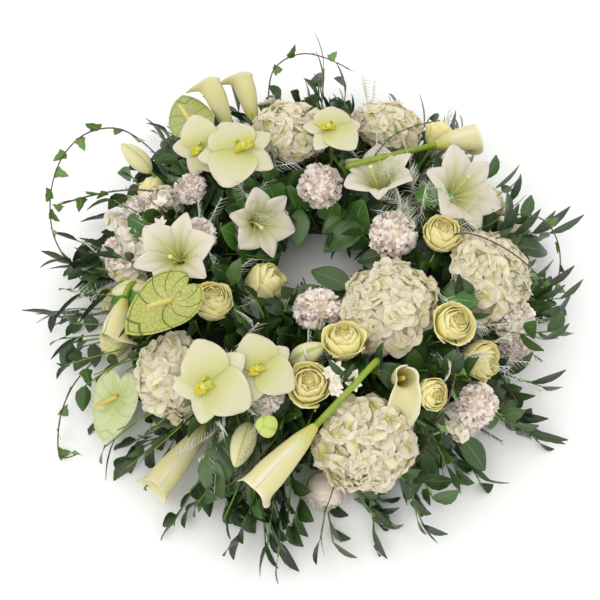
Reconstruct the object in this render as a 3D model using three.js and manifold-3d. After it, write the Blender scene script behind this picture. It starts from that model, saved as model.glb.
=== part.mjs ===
// A round funeral wreath, lying flat: cut flowers and greenery stuck into a ring of floral foam in a tray.
// Millimetres, +Z up. The origin is on the ring's axis, at the level of the tray's underside.
import * as THREE from "three";
import { mergeVertices } from "three/addons/utils/BufferGeometryUtils.js";
import Module from "manifold-3d";

const wasm = await Module();
wasm.setup();

// ---- The ring ----------------------------------------------------------------------------------
const RING_OUTER = 230; // outside radius of the foam
const RING_INNER = 130; // inside radius of the foam
const TRAY_FLOOR = 3; // thickness of the tray's bottom
const TRAY_WALL = 2.5;
const TRAY_HEIGHT = 22;
const FOAM_TOP = 73;
const FOAM_EDGE = 14; // bevel along the top edges of the foam
const RING_SIDES = 36;
const GAP = 0.4; // air between two pieces that touch

// The core is the circle through the middle of the foam. Every stem points at it.
const CORE_RADIUS = (RING_OUTER + RING_INNER) / 2;
const CORE_HEIGHT = (FOAM_TOP + TRAY_FLOOR) / 2;
const FOOT = 12; // distance from the core at which a stem ends
const STEM_SIDES = 6;

// ---- Finishes ----------------------------------------------------------------------------------
const finish = (color, roughness) => new THREE.MeshStandardMaterial({ color, roughness, metalness: 0 });
const TRAY_PLASTIC = finish(0x23402a, 0.45);
const WET_FOAM = finish(0x3d5a35, 0.95);
const WHITE_PETAL = finish(0xf3f0e6, 0.6);
const CREAM_PETAL = finish(0xeceac4, 0.6);
const ORCHID_PETAL = finish(0xeeeed2, 0.5);
const GREEN_SPATHE = finish(0xc3d98a, 0.35);
const CALLA_SPATHE = finish(0xf0edcc, 0.45);
const BUD_SKIN = finish(0xd9dfa0, 0.55);
const BROAD_LEAF = finish(0x245226, 0.5);
const NARROW_LEAF = finish(0x1f4426, 0.5);
const VINE_BARK = finish(0x4a3f30, 0.8);
const GREENERY = [BROAD_LEAF, NARROW_LEAF, VINE_BARK];

// ---- Solids ------------------------------------------------------------------------------------

const radians = THREE.MathUtils.degToRad;

function solidOf(geometry) {
  geometry.deleteAttribute("normal");
  geometry.deleteAttribute("uv");
  const merged = mergeVertices(geometry, 1e-3);
  const vertProperties = merged.attributes.position.array;
  const triVerts = new Uint32Array(merged.index.array);
  return new wasm.Manifold(new wasm.Mesh({ numProp: 3, vertProperties, triVerts }));
}

function geometryOf(solid) {
  const { numProp, vertProperties, triVerts } = solid.getMesh();
  const positions = [];
  for (let i = 0; i < vertProperties.length; i += numProp) {
    positions.push(...vertProperties.slice(i, i + 3));
  }
  const geometry = new THREE.BufferGeometry();
  geometry.setAttribute("position", new THREE.Float32BufferAttribute(positions, 3));
  geometry.setIndex([...triVerts]);
  const faceted = geometry.toNonIndexed();
  faceted.computeVertexNormals();
  return faceted;
}

const joined = (solids) => solids.reduce((whole, next) => whole.add(next));

const EAST = new THREE.Vector3(1, 0, 0);
const NORTH = new THREE.Vector3(0, 1, 0);
const UP = new THREE.Vector3(0, 0, 1);

// The point at an angle on a circle of two perpendicular directions.
function around(first, second, radius, angle) {
  return new THREE.Vector3()
    .addScaledVector(first, radius * Math.cos(angle))
    .addScaledVector(second, radius * Math.sin(angle));
}

// A closed skin of rings laid on each other from the underside up. place(i, angle) gives a point of
// ring i, and the first and the last ring shrink to one point each.
function skin(rings, sides, place) {
  const points = [place(0, 0)];
  for (let i = 1; i < rings - 1; i++) {
    for (let k = 0; k < sides; k++) points.push(place(i, (k / sides) * 2 * Math.PI));
  }
  points.push(place(rings - 1, 0));
  const last = points.length - 1;
  const at = (i, k) => 1 + (i - 1) * sides + (k % sides);
  const faces = [];
  for (let k = 0; k < sides; k++) {
    faces.push(0, at(1, k + 1), at(1, k));
    for (let i = 1; i < rings - 2; i++) {
      faces.push(at(i, k), at(i, k + 1), at(i + 1, k + 1));
      faces.push(at(i, k), at(i + 1, k + 1), at(i + 1, k));
    }
    faces.push(last, at(rings - 2, k), at(rings - 2, k + 1));
  }
  const geometry = new THREE.BufferGeometry().setFromPoints(points);
  geometry.setIndex(faces);
  return solidOf(geometry);
}

// A skin turned round Z from a profile of [radius, height] points. swell(i, angle) scales the radius.
function turned(profile, sides, swell = () => 1) {
  return skin(profile.length, sides, (i, angle) => {
    const [radius, height] = profile[i];
    const r = radius * swell(i, angle);
    return new THREE.Vector3(r * Math.cos(angle), r * Math.sin(angle), height);
  });
}

// A stem along a curve that starts at the origin along +Z. It is cut on the slant, and the cut's
// point is on the +X side, the side to which the flower's tip is turned.
function stem(curve, radius, steps = 1, sides = STEM_SIDES) {
  return skin(steps + 3, sides, (i, angle) => {
    const ring = THREE.MathUtils.clamp(i - 1, 0, steps);
    const centre = curve.getPointAt(ring / steps);
    if (i === 0 || i === steps + 2) return centre;
    const along = curve.getTangentAt(ring / steps);
    const front = NORTH.clone().cross(along).normalize();
    const side = new THREE.Vector3().crossVectors(along, front);
    const offset = around(front, side, radius, angle);
    const point = centre.add(offset);
    if (ring === 0) point.z -= offset.x;
    return point;
  });
}

function straightStem(length, radius) {
  return stem(new THREE.LineCurve3(new THREE.Vector3(), new THREE.Vector3(0, 0, length)), radius);
}

// A leaf blade along +X, given as shares of its length and half width from base to tip. The blade
// is folded along its midrib and bows downwards evenly, by bow degrees from base to tip.
const LEAF_OUTLINE = [[0, 0], [0.16, 0.36], [0.44, 1], [0.76, 0.64], [1, 0]];
const SHORT_OUTLINE = [[0, 0], [0.36, 1], [0.74, 0.7], [1, 0]];
const LEAF_THICKNESS = 1.6;
const LEAF_FOLD = 0.18;

function leaf({ length, halfWidth, bow, outline = LEAF_OUTLINE }) {
  return skin(outline.length, 4, (i, angle) => {
    const [along, across] = outline[i];
    const bent = radians(bow) * along;
    const run = Math.abs(bow) < 1 ? along : Math.sin(bent) / radians(bow);
    const drop = Math.abs(bow) < 1 ? 0 : (1 - Math.cos(bent)) / radians(bow);
    const side = Math.cos(angle) * across * halfWidth;
    const lift = Math.sin(angle) * LEAF_THICKNESS * 0.5 - Math.abs(side) * LEAF_FOLD;
    const x = run * length + lift * Math.sin(bent);
    return new THREE.Vector3(x, side, lift * Math.cos(bent) - drop * length);
  });
}

// ---- Flowers, each with its foot at the origin, its stem along +Z and its tip side at +X ---------
// reach is the distance from the core to the middle of the head, and size is the head's radius.

const HYDRANGEA_STEM = 4;
function hydrangea({ reach, size }) {
  const dome = mergeVertices(bare(new THREE.IcosahedronGeometry(size, 2)), 1e-3);
  const position = dome.attributes.position;
  for (let i = 0; i < position.count; i++) {
    const floret = i % 2 ? 1.05 : 0.95;
    const z = position.getZ(i);
    const flattened = z > 0 ? z * 0.8 : z * 0.45;
    position.setXYZ(i, position.getX(i) * floret, position.getY(i) * floret, flattened * floret);
  }
  const height = reach - FOOT;
  return joined([straightStem(height, HYDRANGEA_STEM), solidOf(dome).translate([0, 0, height])]);
}

function bare(geometry) {
  geometry.deleteAttribute("normal");
  geometry.deleteAttribute("uv");
  return geometry;
}

// Shares of the rose's radius: a cup of guard petals with the rolled heart standing in it.
const ROSE_STEM = 3;
const ROSE_PROFILE = [[0, -0.85], [0.4, -0.78], [0.8, -0.35], [0.97, 0.2], [1, 0.42],
  [0.74, 0.36], [0.62, 0.68], [0.3, 0.75], [0, 0.55]];
function rose({ reach, size }) {
  const height = reach - FOOT;
  const head = turned(
    ROSE_PROFILE.map(([r, z]) => [r * size, height + z * size]),
    10,
    (i, angle) => 1 + 0.06 * Math.cos(5 * angle + (i > 4 ? Math.PI : 0)),
  );
  return joined([straightStem(height, ROSE_STEM), head]);
}

const CARNATION_STEM = 2.2;
const CALYX_LENGTH = 28;
function carnation({ reach, size }) {
  const height = reach - FOOT;
  const calyx = height - 0.4 * size - CALYX_LENGTH;
  const head = turned(
    [[0, calyx], [5, calyx + 1], [8, calyx + 14], [9, calyx + CALYX_LENGTH],
      [0.9 * size, height - 0.2 * size], [size, height], [0.82 * size, height + 0.4 * size],
      [0.4 * size, height + 0.58 * size], [0, height + 0.6 * size]],
    12,
    (i, angle) => 1 + (i > 3 ? 0.07 : 0) * Math.cos(6 * angle + i * Math.PI),
  );
  return joined([straightStem(calyx + CALYX_LENGTH, CARNATION_STEM), head]);
}

// The lily is one trumpet of six petals. A petal's wall runs from the throat (share 0) to its tip
// (share 1), and between two petals it ends at the notch.
const LILY_STEM = 3.5;
const LILY_WALL = 2;
const LILY_SIDES = 24;
const LILY_EDGE = [1, 0.86, 0.5, 0.86]; // where the wall ends, from a petal's tip round to the next
const LILY_STEPS = [0.22, 0.62, 1];
function lily({ reach, size, depth = 0.8 }) {
  const trumpet = depth * size;
  const throat = reach - FOOT - trumpet;
  const wall = (share, angle, inside) => {
    const end = LILY_EDGE[Math.round((angle / (2 * Math.PI)) * LILY_SIDES) % LILY_EDGE.length];
    const t = share * end;
    const r = LILY_STEM + (size - LILY_STEM) * Math.pow(t, 1.5) - (inside ? LILY_WALL * (1 - t) : 0);
    const z = throat + trumpet * Math.sin(t * 1.75) + (inside ? LILY_WALL : 0);
    return new THREE.Vector3(Math.max(r, 0.6) * Math.cos(angle), Math.max(r, 0.6) * Math.sin(angle), z);
  };
  const outside = LILY_STEPS.length;
  const head = skin(2 * outside + 2, LILY_SIDES, (i, angle) => {
    if (i === 0) return new THREE.Vector3(0, 0, throat);
    if (i <= outside) return wall(LILY_STEPS[i - 1], angle, false);
    if (i <= 2 * outside) return wall(LILY_STEPS[2 * outside - i], angle, true);
    return new THREE.Vector3(0, 0, throat + 3 * LILY_WALL);
  });
  return joined([straightStem(throat + LILY_WALL, LILY_STEM), head]);
}

// A closed lily bud: a long three-sided spindle.
const BUD_PROFILE = [[0, 0], [0.5, 0.06], [1, 0.38], [0.92, 0.66], [0.4, 0.93], [0, 1]];
function lilyBud({ reach, size, length }) {
  const base = reach - FOOT - length / 2;
  const head = turned(
    BUD_PROFILE.map(([r, z]) => [r * size, base + z * length]),
    6,
    (i, angle) => 1 + 0.08 * Math.cos(3 * angle),
  );
  return joined([straightStem(base + 3, LILY_STEM * 0.7), head]);
}

// A moth orchid's face. Each tepal is [direction, half width, length] as degrees and shares of the
// size: the dorsal sepal points to +X, the two broad petals to either side, and the lateral sepals
// and the lip away from it.
const ORCHID_STEM = 2.5;
const ORCHID_SIDES = 20;
const ORCHID_TEPALS = [[0, 34, 0.92], [72, 46, 1], [148, 32, 0.9], [-148, 32, 0.9], [-72, 46, 1]];
function orchidFace(size) {
  const edge = (angle) => {
    const degrees = THREE.MathUtils.radToDeg(angle);
    const shares = ORCHID_TEPALS.map(([direction, halfWidth, length]) => {
      const off = Math.abs(THREE.MathUtils.euclideanModulo(degrees - direction + 180, 360) - 180);
      return off > halfWidth ? 0 : length * (0.45 + 0.55 * Math.cos((off / halfWidth) * (Math.PI / 2)));
    });
    return size * Math.max(0.42, ...shares);
  };
  const face = skin(5, ORCHID_SIDES, (i, angle) => {
    const share = [0, 0.5, 1, 0.5, 0][i];
    const r = share * edge(angle);
    const thickness = (i < 2 ? -1 : i > 2 ? 1 : 0) * 1.2;
    const bow = 0.12 * size * share - 0.2 * size * share * share;
    return new THREE.Vector3(r * Math.cos(angle), r * Math.sin(angle), bow + thickness);
  });
  const lip = turned([[0, 0], [0.2, 0.03], [0.24, 0.2], [0.1, 0.34], [0, 0.36]]
    .map(([r, z]) => [r * size, z * size]), 8).translate([-0.14 * size, 0, -0.02 * size]);
  return joined([face, lip]);
}

function orchid({ reach, size }) {
  const height = reach - FOOT;
  return joined([straightStem(height, ORCHID_STEM), orchidFace(size).translate([0, 0, height])]);
}

// A spray of the same orchid: the main bloom, a second one beside it on the +X side, and a bud.
const SPRAY_BRANCH = 0.42; // share of the height at which the side stalks leave the stem
function orchidSpray({ reach, size }) {
  const height = reach - FOOT;
  const fork = new THREE.Vector3(0, 0, height * SPRAY_BRANCH);
  const second = new THREE.Vector3(1.25 * size, -0.25 * size, height - 0.5 * size);
  const budEnd = new THREE.Vector3(0.35 * size, -1.55 * size, height - 0.25 * size);
  const stalkTo = (end) => {
    const line = new THREE.LineCurve3(new THREE.Vector3(), end.clone().sub(fork));
    return stem(line, ORCHID_STEM * 0.7).translate(fork.toArray());
  };
  const bud = turned(BUD_PROFILE.map(([r, z]) => [r * 0.25 * size, z * 0.55 * size]), 6);
  return joined([
    straightStem(height, ORCHID_STEM),
    orchidFace(size).translate([0, 0, height]),
    stalkTo(second),
    orchidFace(size * 0.85).rotate([0, 25, 0]).translate(second.toArray()),
    stalkTo(budEnd),
    bud.translate(budEnd.clone().sub(new THREE.Vector3(0, 0, 0.1 * size)).toArray()),
  ]);
}

// An anthurium's heart-shaped spathe is held by its notch. size is its half width. It nods from the
// stem: at nod 0 its face looks along the stem, at 90 its tip does. swing turns the tip in the face.
const ANTHURIUM_STEM = 3;
const HEART = [1.75, 1.42, 1.16, 1.02, 0.97, 0.96, 0.98, 1.0, 0.98, 0.62]; // radius each 20 degrees
function anthurium({ reach, size, nod, swing = 0 }) {
  const height = reach - FOOT;
  const sides = 2 * (HEART.length - 1);
  const heart = skin(5, sides, (i, angle) => {
    const step = Math.round((angle / (2 * Math.PI)) * sides);
    const radius = size * HEART[Math.min(step, sides - step)];
    const share = [0, 0.55, 1, 0.55, 0][i];
    const thickness = (i < 2 ? -1 : i > 2 ? 1 : 0) * 1.1;
    const cup = 0.16 * size * share * share;
    return around(EAST, NORTH, share * radius, angle).setZ(cup + thickness);
  });
  const spadix = turned([[0, 0], [3.4, 1], [3, 0.55 * size], [1.8, 0.98 * size], [0, size]], 6);
  const face = joined([heart.rotate([0, 0, swing]), spadix.rotate([0, 52, 0])]);
  return joined([straightStem(height, ANTHURIUM_STEM), face.rotate([0, -nod, 0]).translate([0, 0, height])]);
}

// A calla's spathe: a sheet rolled into a funnel round its stem, flaring to a rim whose pointed lip
// is on the +X side. length runs from the stem to the far rim.
const CALLA_STEM = 4.5;
const CALLA_WALL = 1.6;
const CALLA_SIDES = 12;
function callaFunnel({ length, size, lipLength = 0.75 }) {
  const radii = [CALLA_STEM, 0.42 * size, 0.62 * size, 0.76 * size, size];
  const shares = [0, 0.2, 0.5, 0.78, 1];
  const wall = (k, angle, inside) => {
    const towardsLip = 0.5 + 0.5 * Math.cos(angle);
    const lip = Math.pow(towardsLip, 3);
    const rim = k === shares.length - 1;
    const reachOut = rim ? 0.66 + lipLength * lip : 1;
    const r = radii[k] * reachOut - (inside ? CALLA_WALL * (rim ? 0.2 : 1) : 0);
    const z = shares[k] * length * (0.84 + 0.16 * towardsLip) - (rim ? 0.14 * length * lip : 0);
    return new THREE.Vector3(r * Math.cos(angle), r * Math.sin(angle), z + (inside && rim ? CALLA_WALL : 0));
  };
  const outside = shares.length;
  return skin(2 * outside + 1, CALLA_SIDES, (i, angle) => {
    if (i === 0) return new THREE.Vector3(0, 0, 0);
    if (i <= outside) return wall(i - 1, angle, false);
    if (i < 2 * outside) return wall(2 * outside - i, angle, true);
    return new THREE.Vector3(0, 0, 0.12 * length);
  });
}

function calla({ reach, size, length, lipLength }) {
  const base = reach - FOOT - length / 2;
  const funnel = callaFunnel({ length, size, lipLength });
  return joined([straightStem(base + 2, CALLA_STEM), funnel.translate([0, 0, base])]);
}

// A calla whose long stem is bent over: it rises to the bend and then runs straight to the +X side,
// falling by slope degrees. run is the distance from the bend to the rim.
const BEND = 22; // how far before and after the corner the stem curves
function bentCalla({ reach, size, length, run, slope }) {
  const corner = new THREE.Vector3(0, 0, reach - FOOT);
  const down = radians(slope);
  const onward = new THREE.Vector3(Math.cos(down), 0, -Math.sin(down));
  const flowerBase = corner.clone().addScaledVector(onward, run - length);
  const path = new THREE.CurvePath();
  const before = corner.clone().setZ(corner.z - BEND);
  const after = corner.clone().addScaledVector(onward, BEND);
  path.add(new THREE.LineCurve3(new THREE.Vector3(), before));
  path.add(new THREE.QuadraticBezierCurve3(before, corner, after));
  path.add(new THREE.LineCurve3(after, flowerBase.clone().addScaledVector(onward, 2)));
  const funnel = callaFunnel({ length, size }).rotate([0, 90 + slope, 0]).translate(flowerBase.toArray());
  return joined([stem(path, CALLA_STEM, 8), funnel]);
}

// ---- Greenery ----------------------------------------------------------------------------------

// A spray of broad leathery leaves, laid flat round its stem. The leaves that point up and over the
// ring bow down onto it. Those on the +X side stand off from it, tilted up by flare degrees.
const SPRAY_STEM = 2.5;
function leafSpray({ reach, lean, length, leaves = 6, flare = 12, hug = 58, bow = 14, branches = [] }) {
  const height = reach - FOOT;
  const blades = [];
  for (let k = 0; k < leaves; k++) {
    const heading = (360 / leaves) * k;
    const forward = Math.cos(radians(heading));
    const tilt = forward > 0.3 ? flare * forward : 0;
    const blade = leaf({
      length: length * (k % 2 ? 0.9 : 1),
      halfWidth: length * 0.27,
      bow: forward > 0.3 ? bow : bow + hug * forward * forward,
    });
    const level = height - 2 - (k % 2) * 3;
    blades.push(blade.rotate([0, -tilt, 0]).rotate([0, 0, heading]).translate([0, 0, level]));
  }
  const side = branches.flatMap((branch) => leafyBranch({ height, lean, ...branch }));
  return joined([straightStem(height, SPRAY_STEM), ...blades, ...side]);
}

// A leafy branch from the top of a spray's stem, out over the ring's edge. heading is degrees from
// outwards, seen from above, and it ends climb above where it started, or below it if negative.
const BRANCH_LEAVES = 4;
const BRANCH_LEAF = { length: 66, halfWidth: 19, bow: 16, outline: SHORT_OUTLINE };
function leafyBranch({ height, lean, heading, run, climb }) {
  const out = around(EAST, UP, 1, radians(lean));
  const up = around(UP, EAST, 1, radians(-lean));
  const onward = around(out, NORTH, 1, radians(heading));
  const start = UP.clone().multiplyScalar(height - SPRAY_STEM);
  const half = start.clone().addScaledVector(onward, run * 0.5).addScaledVector(up, climb * 0.5 + 12);
  const end = start.clone().addScaledVector(onward, run).addScaledVector(up, climb);
  const path = new THREE.QuadraticBezierCurve3(start, half, end);
  const parts = [stem(path, SPRAY_STEM * 0.8, 2, 4)];
  for (let k = 0; k < BRANCH_LEAVES; k++) {
    const share = 0.4 + (0.56 * k) / (BRANCH_LEAVES - 1);
    const along = path.getTangentAt(share);
    const across = new THREE.Vector3().crossVectors(up, along).normalize();
    const upper = new THREE.Vector3().crossVectors(along, across);
    const place = new THREE.Matrix4().makeBasis(along, across, upper).setPosition(path.getPointAt(share));
    const spin = k === BRANCH_LEAVES - 1 ? 0 : (k % 2 ? 1 : -1) * 48;
    parts.push(leaf(BRANCH_LEAF).rotate([0, 0, spin]).transform(place.elements));
  }
  return parts;
}

// A long sprig of narrow leaves. Its stem leaves the foam straight, then bends over to the tip: a
// straight distance of reach from where the bend starts, bend degrees off, on the +X side.
const SPRIG_STEM = 2;
const SPRIG_STRAIGHT = 44; // from the foot to where the bend starts
const SPRIG_RISE = 0.45; // how far the bend follows the stem's first line, as a share of reach
function sprig({ reach, bend, leafLength = 62, leafWidth = 20, leaves = 8, from = 0.4 }) {
  const start = new THREE.Vector3(0, 0, SPRIG_STRAIGHT);
  const tip = around(UP, EAST, reach, radians(bend)).add(start);
  const rise = start.clone().setZ(SPRIG_STRAIGHT + SPRIG_RISE * reach);
  const path = new THREE.CurvePath();
  path.add(new THREE.LineCurve3(new THREE.Vector3(), start));
  path.add(new THREE.QuadraticBezierCurve3(start, rise, tip));
  const parts = [stem(path, SPRIG_STEM, 8)];
  for (let k = 0; k < leaves; k++) {
    const last = k === leaves - 1;
    const share = from + ((0.98 - from) * k) / (leaves - 1);
    const blade = leaf({ length: leafLength, halfWidth: leafWidth / 2, bow: 12 });
    const tangent = path.getTangentAt(share);
    const heading = THREE.MathUtils.radToDeg(Math.atan2(-tangent.z, tangent.x));
    const side = last ? 0 : (k % 2 ? 1 : -1) * 48;
    const node = path.getPointAt(share).toArray();
    parts.push(blade.rotate([0, 0, side]).rotate([0, heading, 0]).translate(node));
  }
  return joined(parts);
}

// ---- What stands where -------------------------------------------------------------------------
// at: degrees round the ring from +X towards +Y. lean: degrees from straight up, outwards positive,
// inwards negative. turn: degrees round the stem from outwards, the way the tip side looks.

// The branches that hang out over the edge on each of the outer leaf sprays.
const SKIRT = [
  { heading: -46, run: 96, climb: -16 },
  { heading: 0, run: 92, climb: -8 },
  { heading: 46, run: 96, climb: -16 },
];

const GROUPS = [
  { name: "hydrangea", make: hydrangea, stemRadius: HYDRANGEA_STEM, material: WHITE_PETAL, flowers: [
    { at: 99, lean: 26, reach: 104, size: 59 },
    { at: 64, lean: 46, reach: 122, size: 52 },
    { at: -36, lean: -28, reach: 104, size: 70 },
    { at: -4, lean: 42, reach: 106, size: 66 },
    { at: -75, lean: 54, reach: 108, size: 67 },
    { at: -138, lean: 46, reach: 98, size: 57 },
  ] },
  { name: "rose", make: rose, stemRadius: ROSE_STEM, material: CREAM_PETAL, flowers: [
    { at: -151, lean: -12, reach: 114, size: 28 },
    { at: -163, lean: -60, reach: 124, size: 32 },
    { at: 9, lean: 3, reach: 118, size: 27 },
    { at: 24, lean: 64, reach: 124, size: 30 },
    { at: -31, lean: 18, reach: 128, size: 27 },
    { at: -73, lean: -16, reach: 126, size: 27 },
    { at: -91, lean: 8, reach: 112, size: 28 },
    { at: -32, lean: 52, reach: 116, size: 28 },
    { at: 49, lean: 55, reach: 150, size: 25 },
    { at: -53, lean: 36, reach: 132, size: 22 },
    { at: -163, lean: 84, reach: 122, size: 25 },
    { at: -87, lean: 91, reach: 124, size: 29 },
  ] },
  { name: "carnation", make: carnation, stemRadius: CARNATION_STEM, material: WHITE_PETAL, flowers: [
    { at: 84, lean: -28, reach: 114, size: 30 },
    { at: 20, lean: -30, reach: 112, size: 31 },
    { at: -18, lean: 82, reach: 132, size: 27 },
    { at: -108, lean: 18, reach: 101, size: 26 },
    { at: -45, lean: 78, reach: 118, size: 28 },
    { at: 159, lean: 50, reach: 114, size: 29 },
  ] },
  { name: "lily", make: lily, stemRadius: LILY_STEM, material: WHITE_PETAL, flowers: [
    { at: 179, lean: 5, reach: 130, size: 58, turn: 20 },
    { at: 138, lean: -40, reach: 130, size: 52, turn: 35 },
    { at: 48, lean: -15, reach: 138, size: 46, depth: 1.15, turn: 100 },
    { at: 30.5, lean: 34, reach: 137, size: 60, turn: 14 },
  ] },
  { name: "lily_bud", make: lilyBud, stemRadius: LILY_STEM * 0.7, material: BUD_SKIN, flowers: [
    { at: -101, lean: -15, reach: 118, size: 15, length: 56 },
    { at: -110, lean: 46, reach: 122, size: 16, length: 66 },
    { at: 146, lean: 57, reach: 172, size: 15, length: 62 },
  ] },
  { name: "orchid", make: orchid, stemRadius: ORCHID_STEM, material: ORCHID_PETAL, flowers: [
    { at: 125, lean: 4, reach: 148, size: 50, turn: 60 },
    { at: 81, lean: 6, reach: 152, size: 44, turn: -60 },
  ] },
  { name: "orchid_spray", make: orchidSpray, stemRadius: ORCHID_STEM, material: ORCHID_PETAL, flowers: [
    { at: -122, lean: 23, reach: 158, size: 52, turn: 160 },
  ] },
  { name: "anthurium", make: anthurium, stemRadius: ANTHURIUM_STEM, material: GREEN_SPATHE, flowers: [
    { at: 128, lean: 49, reach: 160, size: 37, nod: 40, swing: -20 },
    { at: -155, lean: 10, reach: 146, size: 44, nod: 8, turn: 18 },
    { at: -148, lean: 86, reach: 146, size: 39, nod: 62, swing: 43 },
  ] },
  { name: "calla", make: calla, stemRadius: CALLA_STEM, material: CALLA_SPATHE, flowers: [
    { at: 118, lean: 51, reach: 176, size: 26, length: 108, turn: 80 },
    { at: 109, lean: 55, reach: 172, size: 27, length: 96, turn: 90 },
    { at: -124, lean: 82, reach: 152, size: 28, length: 140, turn: -20 },
    { at: -57.5, lean: 20, reach: 118, size: 20, length: 66, lipLength: 2.4, turn: -35 },
  ] },
  { name: "bent_calla", make: bentCalla, stemRadius: CALLA_STEM, material: CALLA_SPATHE, flowers: [
    { at: -63, lean: 4, reach: 136, size: 28, length: 138, run: 256, slope: 11, turn: -71 },
    { at: 71, lean: -12, reach: 128, size: 26, length: 84, run: 228, slope: 11, turn: -54 },
    { at: -173, lean: 41, reach: 122, size: 24, length: 72, run: 98, slope: -3, turn: 66 },
  ] },
  { name: "ruscus_sprig", make: sprig, stemRadius: SPRIG_STEM, material: NARROW_LEAF, flowers: [
    { at: -174, lean: 66, reach: 122, bend: 28 },
    { at: -99, lean: 66, reach: 128, bend: 28 },
    { at: 14, lean: 62, reach: 128, bend: 22 },
    { at: 87, lean: 50, reach: 134, bend: 18 },
  ] },
  { name: "vine_arch", make: sprig, stemRadius: SPRIG_STEM, material: VINE_BARK, flowers: [
    { at: 148, lean: 36, reach: 200, bend: 46, turn: 50, leaves: 6, leafLength: 26, leafWidth: 18, from: 0.25 },
  ] },
  { name: "leaf_spray", make: leafSpray, stemRadius: SPRAY_STEM, material: BROAD_LEAF, flowers: [
    { at: 10, lean: 46, reach: 68, length: 112, branches: SKIRT },
    { at: 82, lean: 46, reach: 68, length: 112, branches: SKIRT },
    { at: 132, lean: 46, reach: 68, length: 112, branches: SKIRT },
    { at: 175, lean: 46, reach: 68, length: 112, branches: SKIRT },
    { at: -118, lean: 46, reach: 68, length: 112, branches: SKIRT },
    { at: -50, lean: 46, reach: 68, length: 112, branches: SKIRT },
    { at: 121, lean: -46, reach: 68, length: 68, leaves: 6, flare: 0, hug: 40, bow: -8, turn: 180 },
    { at: 64, lean: -46, reach: 68, length: 68, leaves: 6, flare: 0, hug: 40, bow: -8, turn: 180 },
    { at: -7, lean: -46, reach: 68, length: 64, leaves: 6, flare: 0, hug: 40, bow: -8, turn: 180 },
  ] },
];

// ---- Planting ----------------------------------------------------------------------------------

// The pose of a stem: its foot near the core, +Z along the stem and +X to its tip side.
function pose({ at, lean, turn = 0 }) {
  const outwards = around(EAST, NORTH, 1, radians(at));
  const along = around(UP, outwards, 1, radians(lean));
  const front = around(UP, outwards, 1, radians(lean + 90)).applyAxisAngle(along, radians(turn));
  const core = outwards.clone().multiplyScalar(CORE_RADIUS).setZ(CORE_HEIGHT);
  const foot = core.addScaledVector(along, FOOT);
  const side = new THREE.Vector3().crossVectors(along, front);
  return new THREE.Matrix4().makeBasis(front, side, along).setPosition(foot);
}

// The hole that a stem leaves in the foam, a gap wider than the stem all round.
const SOCKET_LENGTH = 75;
function socket(stemRadius, matrix) {
  const radius = (stemRadius + GAP) / Math.cos(Math.PI / STEM_SIDES);
  const start = -stemRadius - 2 * GAP;
  const profile = [[0, start], [radius, start], [radius, SOCKET_LENGTH], [0, SOCKET_LENGTH]];
  return turned(profile, STEM_SIDES).transform(matrix.elements);
}

// A solid swelled by a little room all round: each corner moves out along the normal there.
const ROOM = 1.4;
function swelled(solid) {
  const { numProp, vertProperties, triVerts } = solid.getMesh();
  const corners = [];
  for (let i = 0; i < vertProperties.length; i += numProp) corners.push(...vertProperties.slice(i, i + 3));
  const geometry = new THREE.BufferGeometry();
  geometry.setAttribute("position", new THREE.Float32BufferAttribute(corners, 3));
  geometry.setIndex([...triVerts]);
  geometry.computeVertexNormals();
  const { position, normal } = geometry.attributes;
  const moved = new THREE.Vector3();
  const outward = new THREE.Vector3();
  for (let i = 0; i < position.count; i++) {
    moved.fromBufferAttribute(position, i).addScaledVector(outward.fromBufferAttribute(normal, i), ROOM);
    position.setXYZ(i, moved.x, moved.y, moved.z);
  }
  return solidOf(geometry);
}

// The piece of a cut solid that still holds the foot of its stem.
function rooted(solid, matrix) {
  const toFoot = matrix.clone().invert().elements;
  const depth = (piece) => piece.transform(toFoot).boundingBox().min[2];
  return solid.decompose().reduce((best, piece) => (depth(piece) < depth(best) ? piece : best));
}

const wreath = new THREE.Group();
wreath.name = "wreath";
const plants = [];
for (const { name, make, stemRadius, material, flowers } of GROUPS) {
  flowers.forEach((flower, index) => {
    const matrix = pose(flower);
    const solid = make(flower).transform(matrix.elements);
    plants.push({
      name: `${name}_${index + 1}`,
      material,
      matrix,
      solid,
      greenery: GREENERY.includes(material),
      room: swelled(solid),
      socket: socket(stemRadius, matrix),
    });
  });
}

// Cuts away every one of the cutters whose bounding box meets the solid's.
function cutClear(solid, cutters) {
  const { min, max } = solid.boundingBox();
  const near = cutters.filter((cutter) => {
    const box = cutter.boundingBox();
    return [0, 1, 2].every((axis) => box.min[axis] < max[axis] && box.max[axis] > min[axis]);
  });
  return near.reduce((rest, cutter) => rest.subtract(cutter), solid);
}

// Greenery gives way to every other stem, to the flowers and to the greenery planted before it.
for (const plant of plants.filter(({ greenery }) => greenery)) {
  const others = plants.filter((other) => other !== plant);
  const before = others.filter((other) => !other.greenery || other.planted);
  const stems = others.map((other) => other.socket);
  const bodies = before.flatMap((other) => [other.room, other.solid]);
  plant.solid = rooted(cutClear(plant.solid, [...stems, ...bodies]), plant.matrix);
  plant.planted = true;
}

for (const { name, material, matrix, solid } of plants) {
  const mesh = new THREE.Mesh(geometryOf(solid.transform(matrix.clone().invert().elements)), material);
  mesh.name = name;
  mesh.position.setFromMatrixPosition(matrix);
  mesh.quaternion.setFromRotationMatrix(matrix);
  wreath.add(mesh);
}

// ---- The foam ring and its tray ------------------------------------------------------------------

// A body of revolution round Z from a closed profile of [radius, height] points.
function ringOf(profile) {
  const points = profile.map(([r, z]) => new THREE.Vector2(r, z));
  const lathe = new THREE.LatheGeometry([...points, points[0]], RING_SIDES);
  lathe.rotateX(Math.PI / 2);
  return solidOf(lathe);
}

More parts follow.
